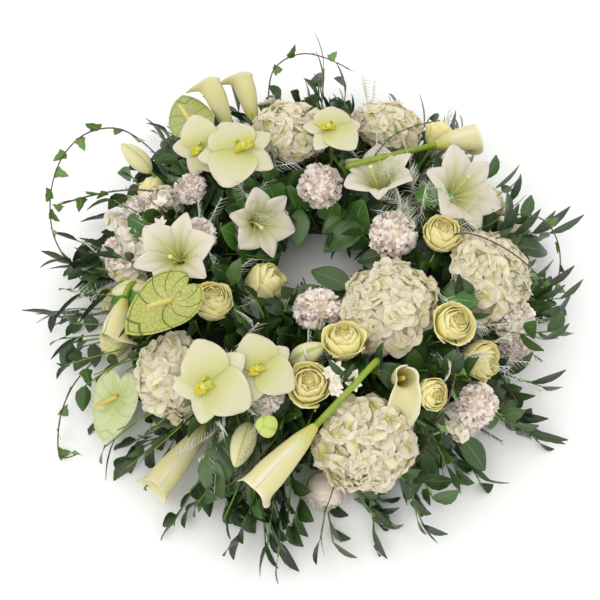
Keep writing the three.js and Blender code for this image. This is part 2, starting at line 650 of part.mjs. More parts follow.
const foam = ringOf([
  [RING_INNER, TRAY_FLOOR + GAP],
  [RING_OUTER, TRAY_FLOOR + GAP],
  [RING_OUTER, FOAM_TOP - FOAM_EDGE],
  [RING_OUTER - FOAM_EDGE, FOAM_TOP],
  [RING_INNER + FOAM_EDGE, FOAM_TOP],
  [RING_INNER, FOAM_TOP - FOAM_EDGE],
]);
const foamRing = new THREE.Mesh(geometryOf(cutClear(foam, plants.map((plant) => plant.socket))), WET_FOAM);
foamRing.name = "foam_ring";
wreath.add(foamRing);

const inside = RING_INNER - GAP;
const outside = RING_OUTER + GAP;
const ringTray = new THREE.Mesh(
  geometryOf(ringOf([
    [inside - TRAY_WALL, 0],
    [outside + TRAY_WALL, 0],
    [outside + TRAY_WALL, TRAY_HEIGHT],
    [outside, TRAY_HEIGHT],
    [outside, TRAY_FLOOR],
    [inside, TRAY_FLOOR],
    [inside, TRAY_HEIGHT],
    [inside - TRAY_WALL, TRAY_HEIGHT],
  ])),
  TRAY_PLASTIC,
);
ringTray.name = "ring_tray";
wreath.add(ringTray);

export default wreath;
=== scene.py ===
"""A round funeral wreath that lies flat: white, cream and green cut flowers with foliage, stuck
into a ring of wet foam in a plastic tray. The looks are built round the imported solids."""
import math
import random

import bmesh
import bpy
import numpy as np
from mathutils import Matrix, Vector, noise


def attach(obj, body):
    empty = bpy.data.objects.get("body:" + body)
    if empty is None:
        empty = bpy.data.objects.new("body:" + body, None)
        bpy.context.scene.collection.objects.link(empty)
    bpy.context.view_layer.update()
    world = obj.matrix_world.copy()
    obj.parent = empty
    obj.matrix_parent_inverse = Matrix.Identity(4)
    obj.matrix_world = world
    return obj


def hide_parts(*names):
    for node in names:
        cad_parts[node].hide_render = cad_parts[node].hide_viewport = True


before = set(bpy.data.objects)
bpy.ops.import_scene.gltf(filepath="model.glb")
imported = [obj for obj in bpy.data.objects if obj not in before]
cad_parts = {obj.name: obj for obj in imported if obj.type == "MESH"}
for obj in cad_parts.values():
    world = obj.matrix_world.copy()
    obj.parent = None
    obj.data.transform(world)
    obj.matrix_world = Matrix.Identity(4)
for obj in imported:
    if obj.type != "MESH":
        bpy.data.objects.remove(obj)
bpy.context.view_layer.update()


# ---- Camera --------------------------------------------------------------------------------------
# The wreath lies on the floor and is seen from a standing person's height, from the front. The lens
# is a little longer than a normal one, and the wreath sits slightly off the middle of the picture.
AIM = Vector((0.0, 0.0, 0.060))
ELEVATION = math.radians(62)
VIEW_DISTANCE = 1.3
camera_data = bpy.data.cameras.new("camera")
camera_data.sensor_width = 36
camera_data.lens = 51.84
camera_data.shift_x = -0.02
camera_data.shift_y = -0.025
camera = bpy.data.objects.new("camera", camera_data)
camera.location = AIM + VIEW_DISTANCE * Vector((0, -math.cos(ELEVATION), math.sin(ELEVATION)))
camera.rotation_euler = (math.pi / 2 - ELEVATION, 0, 0)
bpy.context.scene.collection.objects.link(camera)
bpy.context.scene.camera = camera


# ---- Floor and studio light ----------------------------------------------------------------------
# A plain pale floor, an even white sky and one wide soft lamp from behind the viewer's left shoulder.
class Flow:
    """What flows out of a node. Adding, subtracting or multiplying flows adds Math nodes."""

    def __init__(self, socket):
        self.socket = socket

    def __add__(self, other):
        return maths("ADD", self, other)

    def __sub__(self, other):
        return maths("SUBTRACT", self, other)

    def __rsub__(self, other):
        return maths("SUBTRACT", other, self)

    def __mul__(self, other):
        return maths("MULTIPLY", self, other)


def node(tree, kind, settings=None, **inputs):
    """Adds a node and gives its outputs, by name and by number. An input is named, or numbered as
    _0, and takes a value or another node's output."""
    made = tree.nodes.new(kind)
    for name, value in (settings or {}).items():
        setattr(made, name, value)
    for name, value in inputs.items():
        key = int(name[1:]) if name[1:].isdigit() else name.replace("_", " ")
        if isinstance(value, Flow):
            tree.links.new(value.socket, made.inputs[key])
        else:
            made.inputs[key].default_value = value
    return {key: Flow(socket) for i, socket in enumerate(made.outputs) for key in (i, socket.name)}


def maths(operation, *values):
    """The result of one Math node."""
    tree = next(value.socket.id_data for value in values if isinstance(value, Flow))
    numbered = {f"_{i}": value for i, value in enumerate(values)}
    return node(tree, "ShaderNodeMath", {"operation": operation}, **numbered)[0]


def ramp(value, low, high):
    """0 where the value is at low, 1 where it is at high, and smooth between them."""
    tree, smooth = value.socket.id_data, {"interpolation_type": "SMOOTHSTEP"}
    return node(tree, "ShaderNodeMapRange", smooth, Value=value, From_Min=low, From_Max=high)[0]


def mixed(share, first, second):
    """Two colours mixed by a share."""
    tree, colours = share.socket.id_data, {"data_type": "RGBA"}
    return node(tree, "ShaderNodeMix", colours, _0=share, _6=first, _7=second)[2]


def clouds(tree, scale, detail):
    """Cloudy noise in the object's own space, about one half."""
    place = node(tree, "ShaderNodeTexCoord")["Object"]
    return node(tree, "ShaderNodeTexNoise", Vector=place, Scale=scale, Detail=detail)[0]


def paint(red, green, blue):
    """A colour from its display values, 0 to 255."""
    shares = [value / 255 for value in (red, green, blue)]
    return tuple(s / 12.92 if s < 0.04045 else ((s + 0.055) / 1.055) ** 2.4 for s in shares) + (1.0,)


def node_group(kind, name, inputs, outputs):
    """An empty shader or geometry node group with named sockets: the tree and its inputs."""
    tree = bpy.data.node_groups.new(name, kind + "NodeTree")
    for direction, sockets in (("INPUT", inputs), ("OUTPUT", outputs)):
        for label, socket_kind in sockets.items():
            tree.interface.new_socket(label, in_out=direction, socket_type="NodeSocket" + socket_kind)
    return tree, node(tree, "NodeGroupInput")


SURFACE = {"Color": "Color", "Height": "Float", "Roughness": "Float"}
MOTTLE, given = node_group(
    "Shader", "mottle", {"First": "Color", "Second": "Color", "Scale": "Float"}, SURFACE,
)
patches = clouds(MOTTLE, given["Scale"], 4.0)
grains = clouds(MOTTLE, given["Scale"] * 6.0, 3.0)
node(
    MOTTLE, "NodeGroupOutput", Color=mixed(ramp(patches, 0.3, 0.7), given["First"], given["Second"]),
    Height=patches + grains * 0.4, Roughness=ramp(grains, -1.2, 1.6),
)


def finish_of(name, group, bump=0.0, depth=0.001, shine=None, coat=0.0, glow=0.0, **values):
    """A material whose colour, relief and gloss come from a shader node group. Its colours are given
    by their display values. Thin tissue glows a little with the light that passes through it."""
    values = {label: paint(*value) if isinstance(value, tuple) else value for label, value in values.items()}
    material = bpy.data.materials.new(name)
    material.use_nodes = True
    tree = material.node_tree
    shader = tree.nodes["Principled BSDF"]
    pattern = node(tree, "ShaderNodeGroup", {"node_tree": group}, **values)
    tree.links.new(pattern["Color"].socket, shader.inputs["Base Color"])
    if shine is None:
        tree.links.new(pattern["Roughness"].socket, shader.inputs["Roughness"])
    else:
        shader.inputs["Roughness"].default_value = shine
    shader.inputs["Coat Weight"].default_value = coat
    shader.inputs["Coat Roughness"].default_value = 0.25
    shader.inputs["Subsurface Weight"].default_value = glow
    shader.inputs["Subsurface Radius"].default_value = (1.0, 0.9, 0.7)
    shader.inputs["Subsurface Scale"].default_value = 0.006
    if bump:
        relief = node(tree, "ShaderNodeBump", Strength=bump, Distance=depth, Height=pattern["Height"])
        tree.links.new(relief["Normal"].socket, shader.inputs["Normal"])
    return material


floor_mesh = bpy.data.meshes.new("floor")
floor_mesh.from_pydata([(-4, -4, 0), (4, -4, 0), (4, 4, 0), (-4, 4, 0)], [], [(0, 1, 2, 3)])
floor = bpy.data.objects.new("floor", floor_mesh)
floor_mesh.materials.append(
    finish_of("floor_paint", MOTTLE, First=(252, 252, 252), Second=(254, 254, 254), Scale=6.0)
)
bpy.context.scene.collection.objects.link(floor)

world = bpy.data.worlds.new("studio")
world.use_nodes = True
world.node_tree.nodes["Background"].inputs["Color"].default_value = (1.0, 0.998, 0.99, 1.0)
world.node_tree.nodes["Background"].inputs["Strength"].default_value = 1.03
bpy.context.scene.world = world
bpy.context.scene.view_settings.view_transform = "Standard"

lamp_data = bpy.data.lights.new("soft_lamp", "AREA")
lamp_data.size = 1.9
lamp_data.energy = 17
lamp_data.color = (1.0, 0.98, 0.94)
lamp = bpy.data.objects.new("soft_lamp", lamp_data)
lamp.location = (-0.9, -0.7, 2.4)
lamp.rotation_euler = (Vector((0, 0, 0.05)) - lamp.location).to_track_quat("-Z", "Y").to_euler()
bpy.context.scene.collection.objects.link(lamp)


# ---- Tray ----------------------------------------------------------------------------------------
# A shallow ring-shaped tray of moulded dark green plastic with a slightly grained skin. It carries
# the foam and stands on the floor, hidden by the foliage.
TRAY_PLASTIC = finish_of(
    "tray_plastic", MOTTLE, bump=0.25, depth=0.0004, First=(22, 48, 34), Second=(28, 58, 40), Scale=60.0,
)
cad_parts["ring_tray"].data.materials.clear()
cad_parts["ring_tray"].data.materials.append(TRAY_PLASTIC)


# ---- Foam ring -----------------------------------------------------------------------------------
# Wet flower foam, cut to the tray with its edges shaved off. Its open cells look like fine crumbs.
WET_FOAM = finish_of(
    "wet_foam", MOTTLE, bump=0.9, depth=0.0015, shine=0.95, First=(24, 44, 26), Second=(38, 62, 36),
    Scale=220.0,
)
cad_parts["foam_ring"].data.materials.clear()
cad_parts["foam_ring"].data.materials.append(WET_FOAM)
foam_points = np.array([v.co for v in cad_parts["foam_ring"].data.vertices])
foam_radii = np.hypot(foam_points[:, 0], foam_points[:, 1])
CORE_RADIUS = round((foam_radii.min() + foam_radii.max()) / 2, 3)
CORE_HEIGHT = 0.038
FOOT = 0.012  # every stem's cut end stands this far from the core, from which a bloom's reach counts


# ---- Stems in the foam ---------------------------------------------------------------------------
# Every cut stem is pushed into the foam towards its core, the circle in its middle. The pointed cut
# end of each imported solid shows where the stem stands, which way it leans and how it is turned.
def planted(name):
    """A node's stem: its foot, with the stem along +Z and the flower's tip side at +X, as a 4 x 4
    matrix, and the node's points in that frame."""
    points = np.array([v.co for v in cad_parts[name].data.vertices])
    points = np.unique(np.round(points, 6), axis=0)
    off_core = np.hypot(np.hypot(points[:, 0], points[:, 1]) - CORE_RADIUS, points[:, 2] - CORE_HEIGHT)
    order = np.argsort(off_core)
    cut = points[order[:7]]
    foot = cut.mean(0)
    onward = points[order[7:13]].mean(0) - foot
    pairs = [(np.linalg.norm(b - a), tuple(b - a)) for a in cut for b in cut]
    slope = np.array(max(pairs)[1]) / max(pairs)[0]
    slope = slope if slope @ onward < 0 else -slope
    facing = np.linalg.svd(cut - foot)[2][2]
    facing = facing if facing @ onward > 0 else -facing
    front, along = (slope + facing) / math.sqrt(2), (facing - slope) / math.sqrt(2)
    axes = np.array([front, np.cross(along, front), along])
    return framed(foot, *axes), (points - foot) @ axes.T


def framed(origin, x, y, z):
    """The 4 x 4 matrix of a frame's origin and axes."""
    matrix = np.eye(4)
    matrix[:3, 0], matrix[:3, 1], matrix[:3, 2], matrix[:3, 3] = x, y, z, origin
    return matrix


def standing(at, lean, turn=0.0):
    """The same frame for a stem that isn't among the solids, from its place round the ring, its lean
    outwards and its turn about itself, in degrees."""
    at, lean, turn = (math.radians(angle) for angle in (at, lean, turn))
    out, up = np.array([math.cos(at), math.sin(at), 0]), np.array([0, 0, 1])
    along = up * math.cos(lean) + out * math.sin(lean)
    level = out * math.cos(lean) - up * math.sin(lean)
    front = level * math.cos(turn) + np.cross(along, level) * math.sin(turn)
    origin = out * CORE_RADIUS + up * CORE_HEIGHT + along * FOOT
    return framed(origin, front, np.cross(along, front), along)


def moved(matrix, points):
    """Points put from a frame into the wreath's."""
    return np.asarray(points) @ matrix[:3, :3].T + matrix[:3, 3]


def turned(axis, degrees):
    """A 4 x 4 turn about X, Y or Z."""
    return np.array(Matrix.Rotation(math.radians(degrees), 4, axis))


def shifted(x, y, z):
    """A 4 x 4 shift."""
    return np.array(Matrix.Translation((x, y, z)))


LOW, SETTLE = 0.012, 0.018  # below this height what droops comes to lie on the floor, and how softly


def piece(name, mesh, replaced=()):
    """Makes a finished mesh a piece of the wreath. What droops low settles on the floor."""
    points = np.empty(len(mesh.vertices) * 3)
    mesh.vertices.foreach_get("co", points)
    height = points[2::3]
    points[2::3] = np.where(height < LOW, LOW * np.exp((np.minimum(height, LOW) - LOW) / SETTLE), height)
    mesh.vertices.foreach_set("co", points)
    made = bpy.data.objects.new(name, mesh)
    bpy.context.scene.collection.objects.link(made)
    mesh.shade_smooth()
    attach(made, "root")
    if replaced:
        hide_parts(*replaced)


BLOOMS = []  # the middle and the radius of each bloom, which the leaves keep clear of


def bloom_at(stand, height, radius, x=0.0, y=0.0):
    """Notes where a bloom is, in its stem's frame."""
    BLOOMS.append((*moved(stand, [x, y, height]), radius))


def in_bloom(points, room=1.0):
    """Which of the points are inside a bloom or just above it. Below its middle it is shallower."""
    blooms = np.array(BLOOMS)
    gap = np.asarray(points)[:, None, :] - blooms[None, :, :3]
    gap[..., 2] *= np.where(gap[..., 2] > 0, 0.75, 1.8)
    return (np.linalg.norm(gap, axis=-1) < blooms[None, :, 3] * room).any(1)


def grown(name, tree, base_data, **values):
    """The plain mesh that a geometry tree makes of a base mesh or curve."""
    base = bpy.data.objects.new(name + "_base", base_data)
    bpy.context.scene.collection.objects.link(base)
    modifier = base.modifiers.new("grow", "NODES")
    modifier.node_group = tree
    for socket in tree.interface.items_tree:
        key = socket.name.replace(" ", "_")
        if socket.in_out == "INPUT" and key in values:
            modifier[socket.identifier] = values[key]
    bpy.context.view_layer.update()
    mesh = bpy.data.meshes.new_from_object(base.evaluated_get(bpy.context.evaluated_depsgraph_get()))
    base.modifiers.clear()
    bpy.data.objects.remove(base)
    mesh.name = name
    return mesh


def paths(name, routes, taper=0.7):
    """A curve with one smooth spline through each route's points, thinner towards its end."""
    curve = bpy.data.curves.new(name, "CURVE")
    curve.dimensions = "3D"
    curve.twist_mode = "Z_UP"
    for route in routes:
        route = np.asarray(route)
        spline = curve.splines.new("NURBS")
        spline.points.add(len(route) - 1)
        spline.use_endpoint_u = True
        spline.order_u = min(3, len(route))
        spline.resolution_u = 6
        for i, (point, at) in enumerate(zip(spline.points, route)):
            point.co = (*at, 1.0)
            point.radius = 1 - (1 - taper) * i / (len(route) - 1)
    return curve


def tube(tree, line, sides, radius):
    """A round tube along a line, closed at both ends, which is as thick as the line's radius says."""
    ring = node(tree, "GeometryNodeCurvePrimitiveCircle", Resolution=sides, Radius=radius)[0]
    thickness = node(tree, "GeometryNodeInputRadius")[0]
    return node(
        tree, "GeometryNodeCurveToMesh", Curve=line, Profile_Curve=ring, Scale=thickness, Fill_Caps=True
    )[0]


# A round stalk along each path.
SHAPE = {"Geometry": "Geometry"}
STALK, given = node_group(
    "Geometry", "stalk", SHAPE | {"Radius": "Float", "Sides": "Int", "Material": "Material"}, SHAPE
)
stalk = tube(STALK, given["Geometry"], given["Sides"], given["Radius"])
stalk = node(STALK, "GeometryNodeRealizeInstances", Geometry=stalk)[0]
stalk = node(STALK, "GeometryNodeSetMaterial", Geometry=stalk, Material=given["Material"])[0]
node(STALK, "NodeGroupOutput", Geometry=stalk)

GREEN_STALK = finish_of(
    "green_stalk", MOTTLE, bump=0.2, depth=0.0004, shine=0.45, First=(92, 128, 48), Second=(120, 150, 62),
    Scale=35.0,
)


def bent_line(start, end, bulge, steps=6):
    """A gently curved path between two points."""
    start, end, bulge = np.array(start), np.array(end), np.array(bulge)
    shares = np.linspace(0, 1, steps)[:, None]
    return start + (end - start) * shares + bulge * np.sin(np.pi * shares) * 0.9


def stalks_along(routes, radius, sides=8, material=GREEN_STALK, taper=0.7):
    """Round stalks along the routes, thinner towards their ends."""
    lines = paths("stalks", routes, taper)
    return grown("stalks", STALK, lines, Radius=radius, Sides=sides, Material=material)


def stem(stand, height, radius):
    """A flower's stem, from its cut end in the foam up to its head."""
    route = moved(stand, bent_line((0, 0, 0), (0, 0, height), (0.001, 0.0015, 0)))
    return stalks_along([route], radius, taper=0.9)


# ---- Hydrangeas ----------------------------------------------------------------------------------
# Six mophead hydrangeas: domes of some 150 creamy white florets with four broad petals each, on one
# woody stem. Pale green shows in the gaps between the florets.
def spread(count, edge=0.05):
    """Even steps from -1 to 1. Where there are many, the outermost lie close to the edge."""
    if count < 6:
        return np.linspace(-1, 1, count)
    return np.concatenate([[-1], np.linspace(-1 + edge, 1 - edge, count - 2), [1]])


def petal(shape, rows, columns, seed=0.5):
    """One sheet: shape(across, along) gives its points, across from -1 to 1, along from 0 to 1."""
    along, across = np.meshgrid((spread(rows) + 1) / 2, spread(columns), indexing="ij")
    points = np.stack(np.broadcast_arrays(*shape(across, along)), -1)
    return points, np.stack([across, along, np.full_like(across, seed)], -1)


def laid(matrix, sheets):
    """Sheets put from a frame into the one that it stands in."""
    return [(moved(matrix, points), marks) for points, marks in sheets]


def shells(name, sheets, thickness, material=None):
    """Closes each sheet into a thin shell, whose two faces meet at the sheet's edge. The attribute
    blade keeps where a point lies across and along its sheet, and the sheet's seed."""
    all_points, all_marks, on_edge, faces, start = [], [], [], [], 0
    for points, marks in sheets:
        rows, columns = points.shape[:2]
        normal = np.cross(np.gradient(points, axis=1), np.gradient(points, axis=0))
        normal /= np.maximum(np.linalg.norm(normal, axis=-1, keepdims=True), 1e-12)
        inner = (slice(1, -1), slice(1, -1))
        lifted = points.copy()
        lifted[inner] += normal[inner] * thickness / 2
        sunk = points[inner] - normal[inner] * thickness / 2
        front = np.arange(rows * columns).reshape(rows, columns)
        back = front.copy()
        back[inner] = rows * columns + np.arange(sunk.shape[0] * sunk.shape[1]).reshape(sunk.shape[:2])
        for grid, flipped in ((front, False), (back, True)):
            corners = [grid[:-1, :-1], grid[:-1, 1:], grid[1:, 1:], grid[1:, :-1]]
            quads = np.stack(corners[::-1] if flipped else corners, -1).reshape(-1, 4) + start
            faces.extend(quads.tolist())
        all_points += [lifted.reshape(-1, 3), sunk.reshape(-1, 3)]
        all_marks += [marks.reshape(-1, 3), marks[inner].reshape(-1, 3)]
        border = np.ones((rows, columns), bool)
        border[inner] = False
        on_edge += [border.ravel(), np.zeros(len(all_points[-1]), bool)]
        start += rows * columns + len(all_points[-1])
    mesh = bpy.data.meshes.new(name)
    mesh.from_pydata(np.concatenate(all_points).tolist(), [], faces)
    ends = np.empty(len(mesh.edges) * 2, np.int32)
    mesh.edges.foreach_get("vertices", ends)
    crisp = np.concatenate(on_edge)[ends].reshape(-1, 2).all(1)
    mesh.attributes.new("sharp_edge", "BOOLEAN", "EDGE").data.foreach_set("value", crisp)
    blade = mesh.attributes.new("blade", "FLOAT_VECTOR", "POINT")
    blade.data.foreach_set("vector", np.concatenate(all_marks).astype(np.float32).ravel())
    mesh.update()
    if material:
        mesh.materials.append(material)
    return mesh


def template(name, mesh):
    """A shape that a geometry tree repeats. It isn't in the scene itself."""
    mesh.shade_smooth()
    return bpy.data.objects.new(name, mesh)


def gathered(name, meshes):
    """A collection of like shapes for a tree to pick from."""
    collection = bpy.data.collections.new(name)
    for number, mesh in enumerate(meshes):
        collection.objects.link(template(f"{name}_{number}", mesh))
    return collection


def drawn(tree, kind, low, high, seed):
    """A random value for each element: a FLOAT_VECTOR, a FLOAT or an INT."""
    place = ("FLOAT_VECTOR", "FLOAT", "INT").index(kind)
    limits = {f"_{2 * place}": low, f"_{2 * place + 1}": high}
    return node(tree, "FunctionNodeRandomValue", {"data_type": kind}, Seed=seed, **limits)[place]


def tilted(tree, heading, angles):
    """A rotation that is turned further, in its own frame, by three angles."""
    turn = node(tree, "FunctionNodeEulerToRotation", Euler=angles)[0]
    local = {"rotation_space": "LOCAL"}
    return node(tree, "FunctionNodeRotateRotation", local, Rotation=heading, Rotate_By=turn)[0]


def skinned(tree, copies, seed, material, rest, rest_material):
    """Ends a tree: the copies, each with a tint of its own, joined to the rest of the shape."""
    stored = {"data_type": "FLOAT", "domain": "INSTANCE"}
    tint = drawn(tree, "FLOAT", 0.0, 1.0, seed)
    copies = node(
        tree, "GeometryNodeStoreNamedAttribute", stored, Geometry=copies, Name="tint", Value=tint
    )[0]
    copies = node(tree, "GeometryNodeRealizeInstances", Geometry=copies)[0]
    together = tree.nodes.new("GeometryNodeJoinGeometry")
    for part, finish in ((copies, material), (rest, rest_material)):
        part = node(tree, "GeometryNodeSetMaterial", Geometry=part, Material=finish)[0]
        tree.links.new(part.socket, together.inputs[0])
    node(tree, "NodeGroupOutput", Geometry=Flow(together.outputs[0]))


# Shapes spread over a surface, each standing off it, turned and tilted at random.
OVER_SURFACE, given = node_group(
    "Geometry", "shapes_over_a_surface",
    SHAPE | {
        "Shapes": "Collection", "Spacing": "Float", "Size": "Float", "Tilt": "Float",
        "Seed": "Int", "Shape Material": "Material", "Surface Material": "Material",
    },
    SHAPE,
)
surface, seed = given["Geometry"], given["Seed"]
scattered = node(
    OVER_SURFACE, "GeometryNodeDistributePointsOnFaces", {"distribute_method": "POISSON"},
    Mesh=surface, Distance_Min=given["Spacing"], Density_Max=1e7, Seed=seed,
)
shapes = node(
    OVER_SURFACE, "GeometryNodeCollectionInfo",
    Collection=given["Shapes"], Separate_Children=True, Reset_Children=True,
)[0]
backwards = given["Tilt"] * -1.0
lowest = node(OVER_SURFACE, "ShaderNodeCombineXYZ", X=backwards, Y=backwards, Z=0.0)[0]
full_turn = 6.283
highest = node(OVER_SURFACE, "ShaderNodeCombineXYZ", X=given["Tilt"], Y=given["Tilt"], Z=full_turn)[0]
turn = drawn(OVER_SURFACE, "FLOAT_VECTOR", lowest, highest, seed)
copies = node(
    OVER_SURFACE, "GeometryNodeInstanceOnPoints", Points=scattered["Points"], Instance=shapes,
    Pick_Instance=True, Instance_Index=drawn(OVER_SURFACE, "INT", 0, 11, seed),
    Rotation=tilted(OVER_SURFACE, scattered["Rotation"], turn),
    Scale=drawn(OVER_SURFACE, "FLOAT", given["Size"] * 0.84, given["Size"] * 1.16, seed),
)[0]
skinned(OVER_SURFACE, copies, seed, given["Shape Material"], surface, given["Surface Material"])


def blade_marks(tree):
    """How far across and along its sheet a point lies, and the sheet's chance value."""
    marks = node(tree, "ShaderNodeAttribute", {"attribute_name": "blade"})["Vector"]
    marks = node(tree, "ShaderNodeSeparateXYZ", Vector=marks)
    tint = node(tree, "ShaderNodeAttribute", {"attribute_name": "tint"})["Fac"]
    return marks["X"], marks["Y"], maths("FRACT", marks["Z"] + tint)


# Petal tissue: a heart colour at the foot, the body, an edge colour, and fine veins that fan out.
TISSUE, given = node_group(
    "Shader", "petal_tissue",
    {
        "Heart": "Color", "Body": "Color", "Edge": "Color", "Heart Reach": "Float",
        "Edge Width": "Float", "Veins": "Float", "Vein Count": "Float", "Midrib": "Float",
    },
    SURFACE,
)
across, along, chance = blade_marks(TISSUE)
mottle = clouds(TISSUE, 90.0, 3.0)
wander = (mottle - 0.5) * 0.35
fan = maths("ABSOLUTE", maths("SINE", (across + wander) * given["Vein Count"]))
vein = ramp(fan, 0.32, 0.0) * given["Veins"]
across = maths("ABSOLUTE", across)
rim = ramp(maths("MAXIMUM", across, along), 1.0 - given["Edge Width"], 1.0)
rib = ramp(across, 0.42, 0.0) * ramp(along, 1.0, 0.35)
heart = 1.0 - ramp(along, 0.0, given["Heart Reach"] + wander * 0.6)
heart = maths("MAXIMUM", heart, rib * given["Midrib"])
colour = mixed(heart, mixed(rim, given["Body"], given["Edge"]), given["Heart"])
shade = (chance + mottle) * 0.10 + vein * 0.22
node(
    TISSUE, "NodeGroupOutput", Color=mixed(shade, colour, given["Heart"]),
    Height=mottle * 0.5 - vein, Roughness=ramp(mottle, -1.6, 1.4),
)


def floret(seed):
    """A hydrangea floret about 24 mm across: four broad petals round a small bead."""
    chance = random.Random(seed)
    sheets = []
    for k in range(4):
        wave, cup = chance.uniform(-1, 1), chance.uniform(0.2, 1.9)
        length = 0.0118 * chance.uniform(0.92, 1.1)

        def shape(u, v):
            half = length * 0.74 * np.sin(np.pi * (0.10 + 0.80 * v)) ** 0.62
            lift = 0.0016 * cup * v**2 - 0.0012 * u**2 * v + 0.0016 * wave * u * v
            lift = lift + 0.0007 * np.sin(5 * u + 9 * wave) * v**2
            return length * v * (1 - 0.10 * u**2) + 0.0004, u * half, lift + 0.0004 * (k % 2)

        turn = turned("Z", 90 * k + chance.uniform(-9, 9))
        sheets += laid(turn, [petal(shape, 4, 5, chance.random())])
    return shells("floret", sheets, 0.0005)


def icosphere(detail, radius=1.0):
    """A ball to be reshaped."""
    ball = bmesh.new()
    bmesh.ops.create_icosphere(ball, subdivisions=detail, radius=radius)
    return ball


def mesh_of(work, name):
    """The mesh of a reshaped ball."""
    mesh = bpy.data.meshes.new(name)
    work.to_mesh(mesh)
    work.free()
    return mesh


def bead(name, radius, at=(0, 0, 0), flat=1.0, detail=1):
    """A small closed bead, marked as the heart of a flower."""
    ball = icosphere(detail, radius)
    for vertex in ball.verts:
        vertex.co = (vertex.co.x + at[0], vertex.co.y + at[1], vertex.co.z * flat + at[2])
    mesh = mesh_of(ball, name)
    mesh.attributes.new("blade", "FLOAT_VECTOR", "POINT")
    return mesh


def merged(name, *meshes):
    """Several meshes as one, with their attributes and materials kept."""
    objects = [bpy.data.objects.new(name, mesh) for mesh in meshes]
    for each in objects:
        bpy.context.scene.collection.objects.link(each)
    with bpy.context.temp_override(active_object=objects[0], selected_editable_objects=objects):
        bpy.ops.object.join()
    mesh = objects[0].data
    bpy.data.objects.remove(objects[0])
    mesh.name = name
    return mesh


# The petals' yellow-green heart reaches far along them: partly their own green foot, partly painted shade
# that gives the hollows between the florets the lime tint of light passed through petals.
HYDRANGEA_PETAL = finish_of(
    "hydrangea_petal", TISSUE, bump=0.2, depth=0.0004, glow=0.45, Heart=(218, 216, 118),
    Body=(240, 227, 199), Edge=(242, 229, 208), Heart_Reach=0.74, Edge_Width=0.3, Veins=0.25,
    Vein_Count=7.0,
)
HYDRANGEA_HEART = finish_of(
    "hydrangea_heart", MOTTLE, bump=0.4, depth=0.001, First=(190, 190, 92), Second=(218, 212, 132),
    Scale=70.0,
)
florets = [merged("floret", floret(i), bead("bead", 0.0013, (0, 0, 0.0012))) for i in range(4)]
florets = gathered("florets", florets)


def breadth(points):
    """How far from its stem a planted node reaches."""
    return np.hypot(points[:, 0], points[:, 1]).max()


for number in range(1, 7):
    name = f"hydrangea_{number}"
    stand, points = planted(name)
    radius = breadth(points) / 1.05
    middle = points[:, 2].max() - 0.82 * radius
    ball = icosphere(4)
    for vertex in ball.verts:
        lobes = 0.89 + 0.17 * noise.noise(vertex.co * 2.4 + Vector((number * 7.0, 0, 0)))
        flat = 0.80 if vertex.co.z > 0 else 0.45
        vertex.co = Vector((vertex.co.x, vertex.co.y, vertex.co.z * flat)) * radius * lobes
    dome = mesh_of(ball, name)
    dome.shade_smooth()
    mesh = grown(
        name, OVER_SURFACE, dome, Shapes=florets, Spacing=0.0118, Size=1.36, Tilt=0.30, Seed=number,
        Shape_Material=HYDRANGEA_PETAL, Surface_Material=HYDRANGEA_HEART,
    )
    mesh.transform(Matrix(stand @ shifted(0, 0, middle)))
    bloom_at(stand, middle, radius * 0.93)
    mesh = merged(name, mesh, stem(stand, middle, 0.004))
    piece(f"{name}_head", mesh, [name])


# ---- Roses ---------------------------------------------------------------------------------------
# Pale cream garden roses with a green cast on the guard petals: rolled and quartered hearts in a
# cup of broad petals whose lips turn back, with five narrow sepals below.
def bowl_petal(radius, height, width, lip, seed, lean, ruffle):
    """A rose petal: part of a cup round Z that swells, and whose lip turns out (or in, below 0)."""
    chance = random.Random(seed)
    phase, pinch = chance.uniform(0, 6.28), chance.uniform(0.8, 1.25)

    def shape(u, v):
        profile = [(0.10, -0.8), (1.02, -0.68), (1.12, 0.45 * height), (1.0 + lip, height)]
        weights = ((1 - v) ** 3, 3 * v * (1 - v) ** 2, 3 * v**2 * (1 - v), v**3)
        r, z = (sum(weight * point[i] for weight, point in zip(weights, profile)) for i in (0, 1))
        outline = 0.42 + 0.58 * np.sin(np.pi * np.clip(0.15 + 0.62 * v, 0, 1)) ** 0.8
        angle = u * math.radians(width) / 2 * outline
        z = z - 0.24 * np.abs(u) ** 2.4 * v**2 * pinch + 0.05 * (1 - np.abs(u)) * v**6
        wave = ruffle * np.sin(4.2 * u + phase) * v**4
        r = radius * (r + 0.05 * u * v + wave + lean * v + lip * 0.5 * v**6)
        z = z - max(lip, 0) * 0.5 * v**7
        return r * np.cos(angle), r * np.sin(angle), z

    return petal(shape, 8, 8, chance.random())


def rose_sheets(seed, opened=1.0):
    """All petals of a rose of radius 1, from the guard petals to the heart."""
    chance = random.Random(seed)
    rings = [
        # petals, radius, height, width, lip, lean, ruffle
        (5, 0.84, 0.46, 112, 0.16 * opened, 0.06 * opened, 0.06),
        (5, 0.80, 0.68, 116, -0.04, 0.0, 0.05),
        (5, 0.74, 0.82, 116, -0.18, 0.0, 0.05),
        (5, 0.64, 0.86, 112, -0.24, 0.0, 0.06),
        (5, 0.52, 0.82, 108, -0.22, 0.0, 0.10),
        (6, 0.41, 0.76, 96, -0.18, 0.0, 0.15),
        (6, 0.29, 0.72, 100, -0.12, 0.0, 0.20),
        (5, 0.18, 0.68, 130, -0.10, 0.0, 0.26),
        (4, 0.09, 0.62, 170, 0.0, 0.0, 0.30),
    ]
    sheets = []
    for ring, (count, radius, height, width, lip, lean, ruffle) in enumerate(rings):
        start = chance.uniform(0, 360)
        for k in range(count):
            each = bowl_petal(
                radius * chance.uniform(0.95, 1.05), height * chance.uniform(0.92, 1.06), width,
                lip * chance.uniform(0.6, 1.4), chance.randrange(10**6), lean, ruffle,
            )
            each[1][..., 2] = 0.1 * ring + 0.2 * each[1][..., 2]
            sheets += laid(turned("Z", start + 360 / count * k + chance.uniform(-7, 7)), [each])
    return sheets


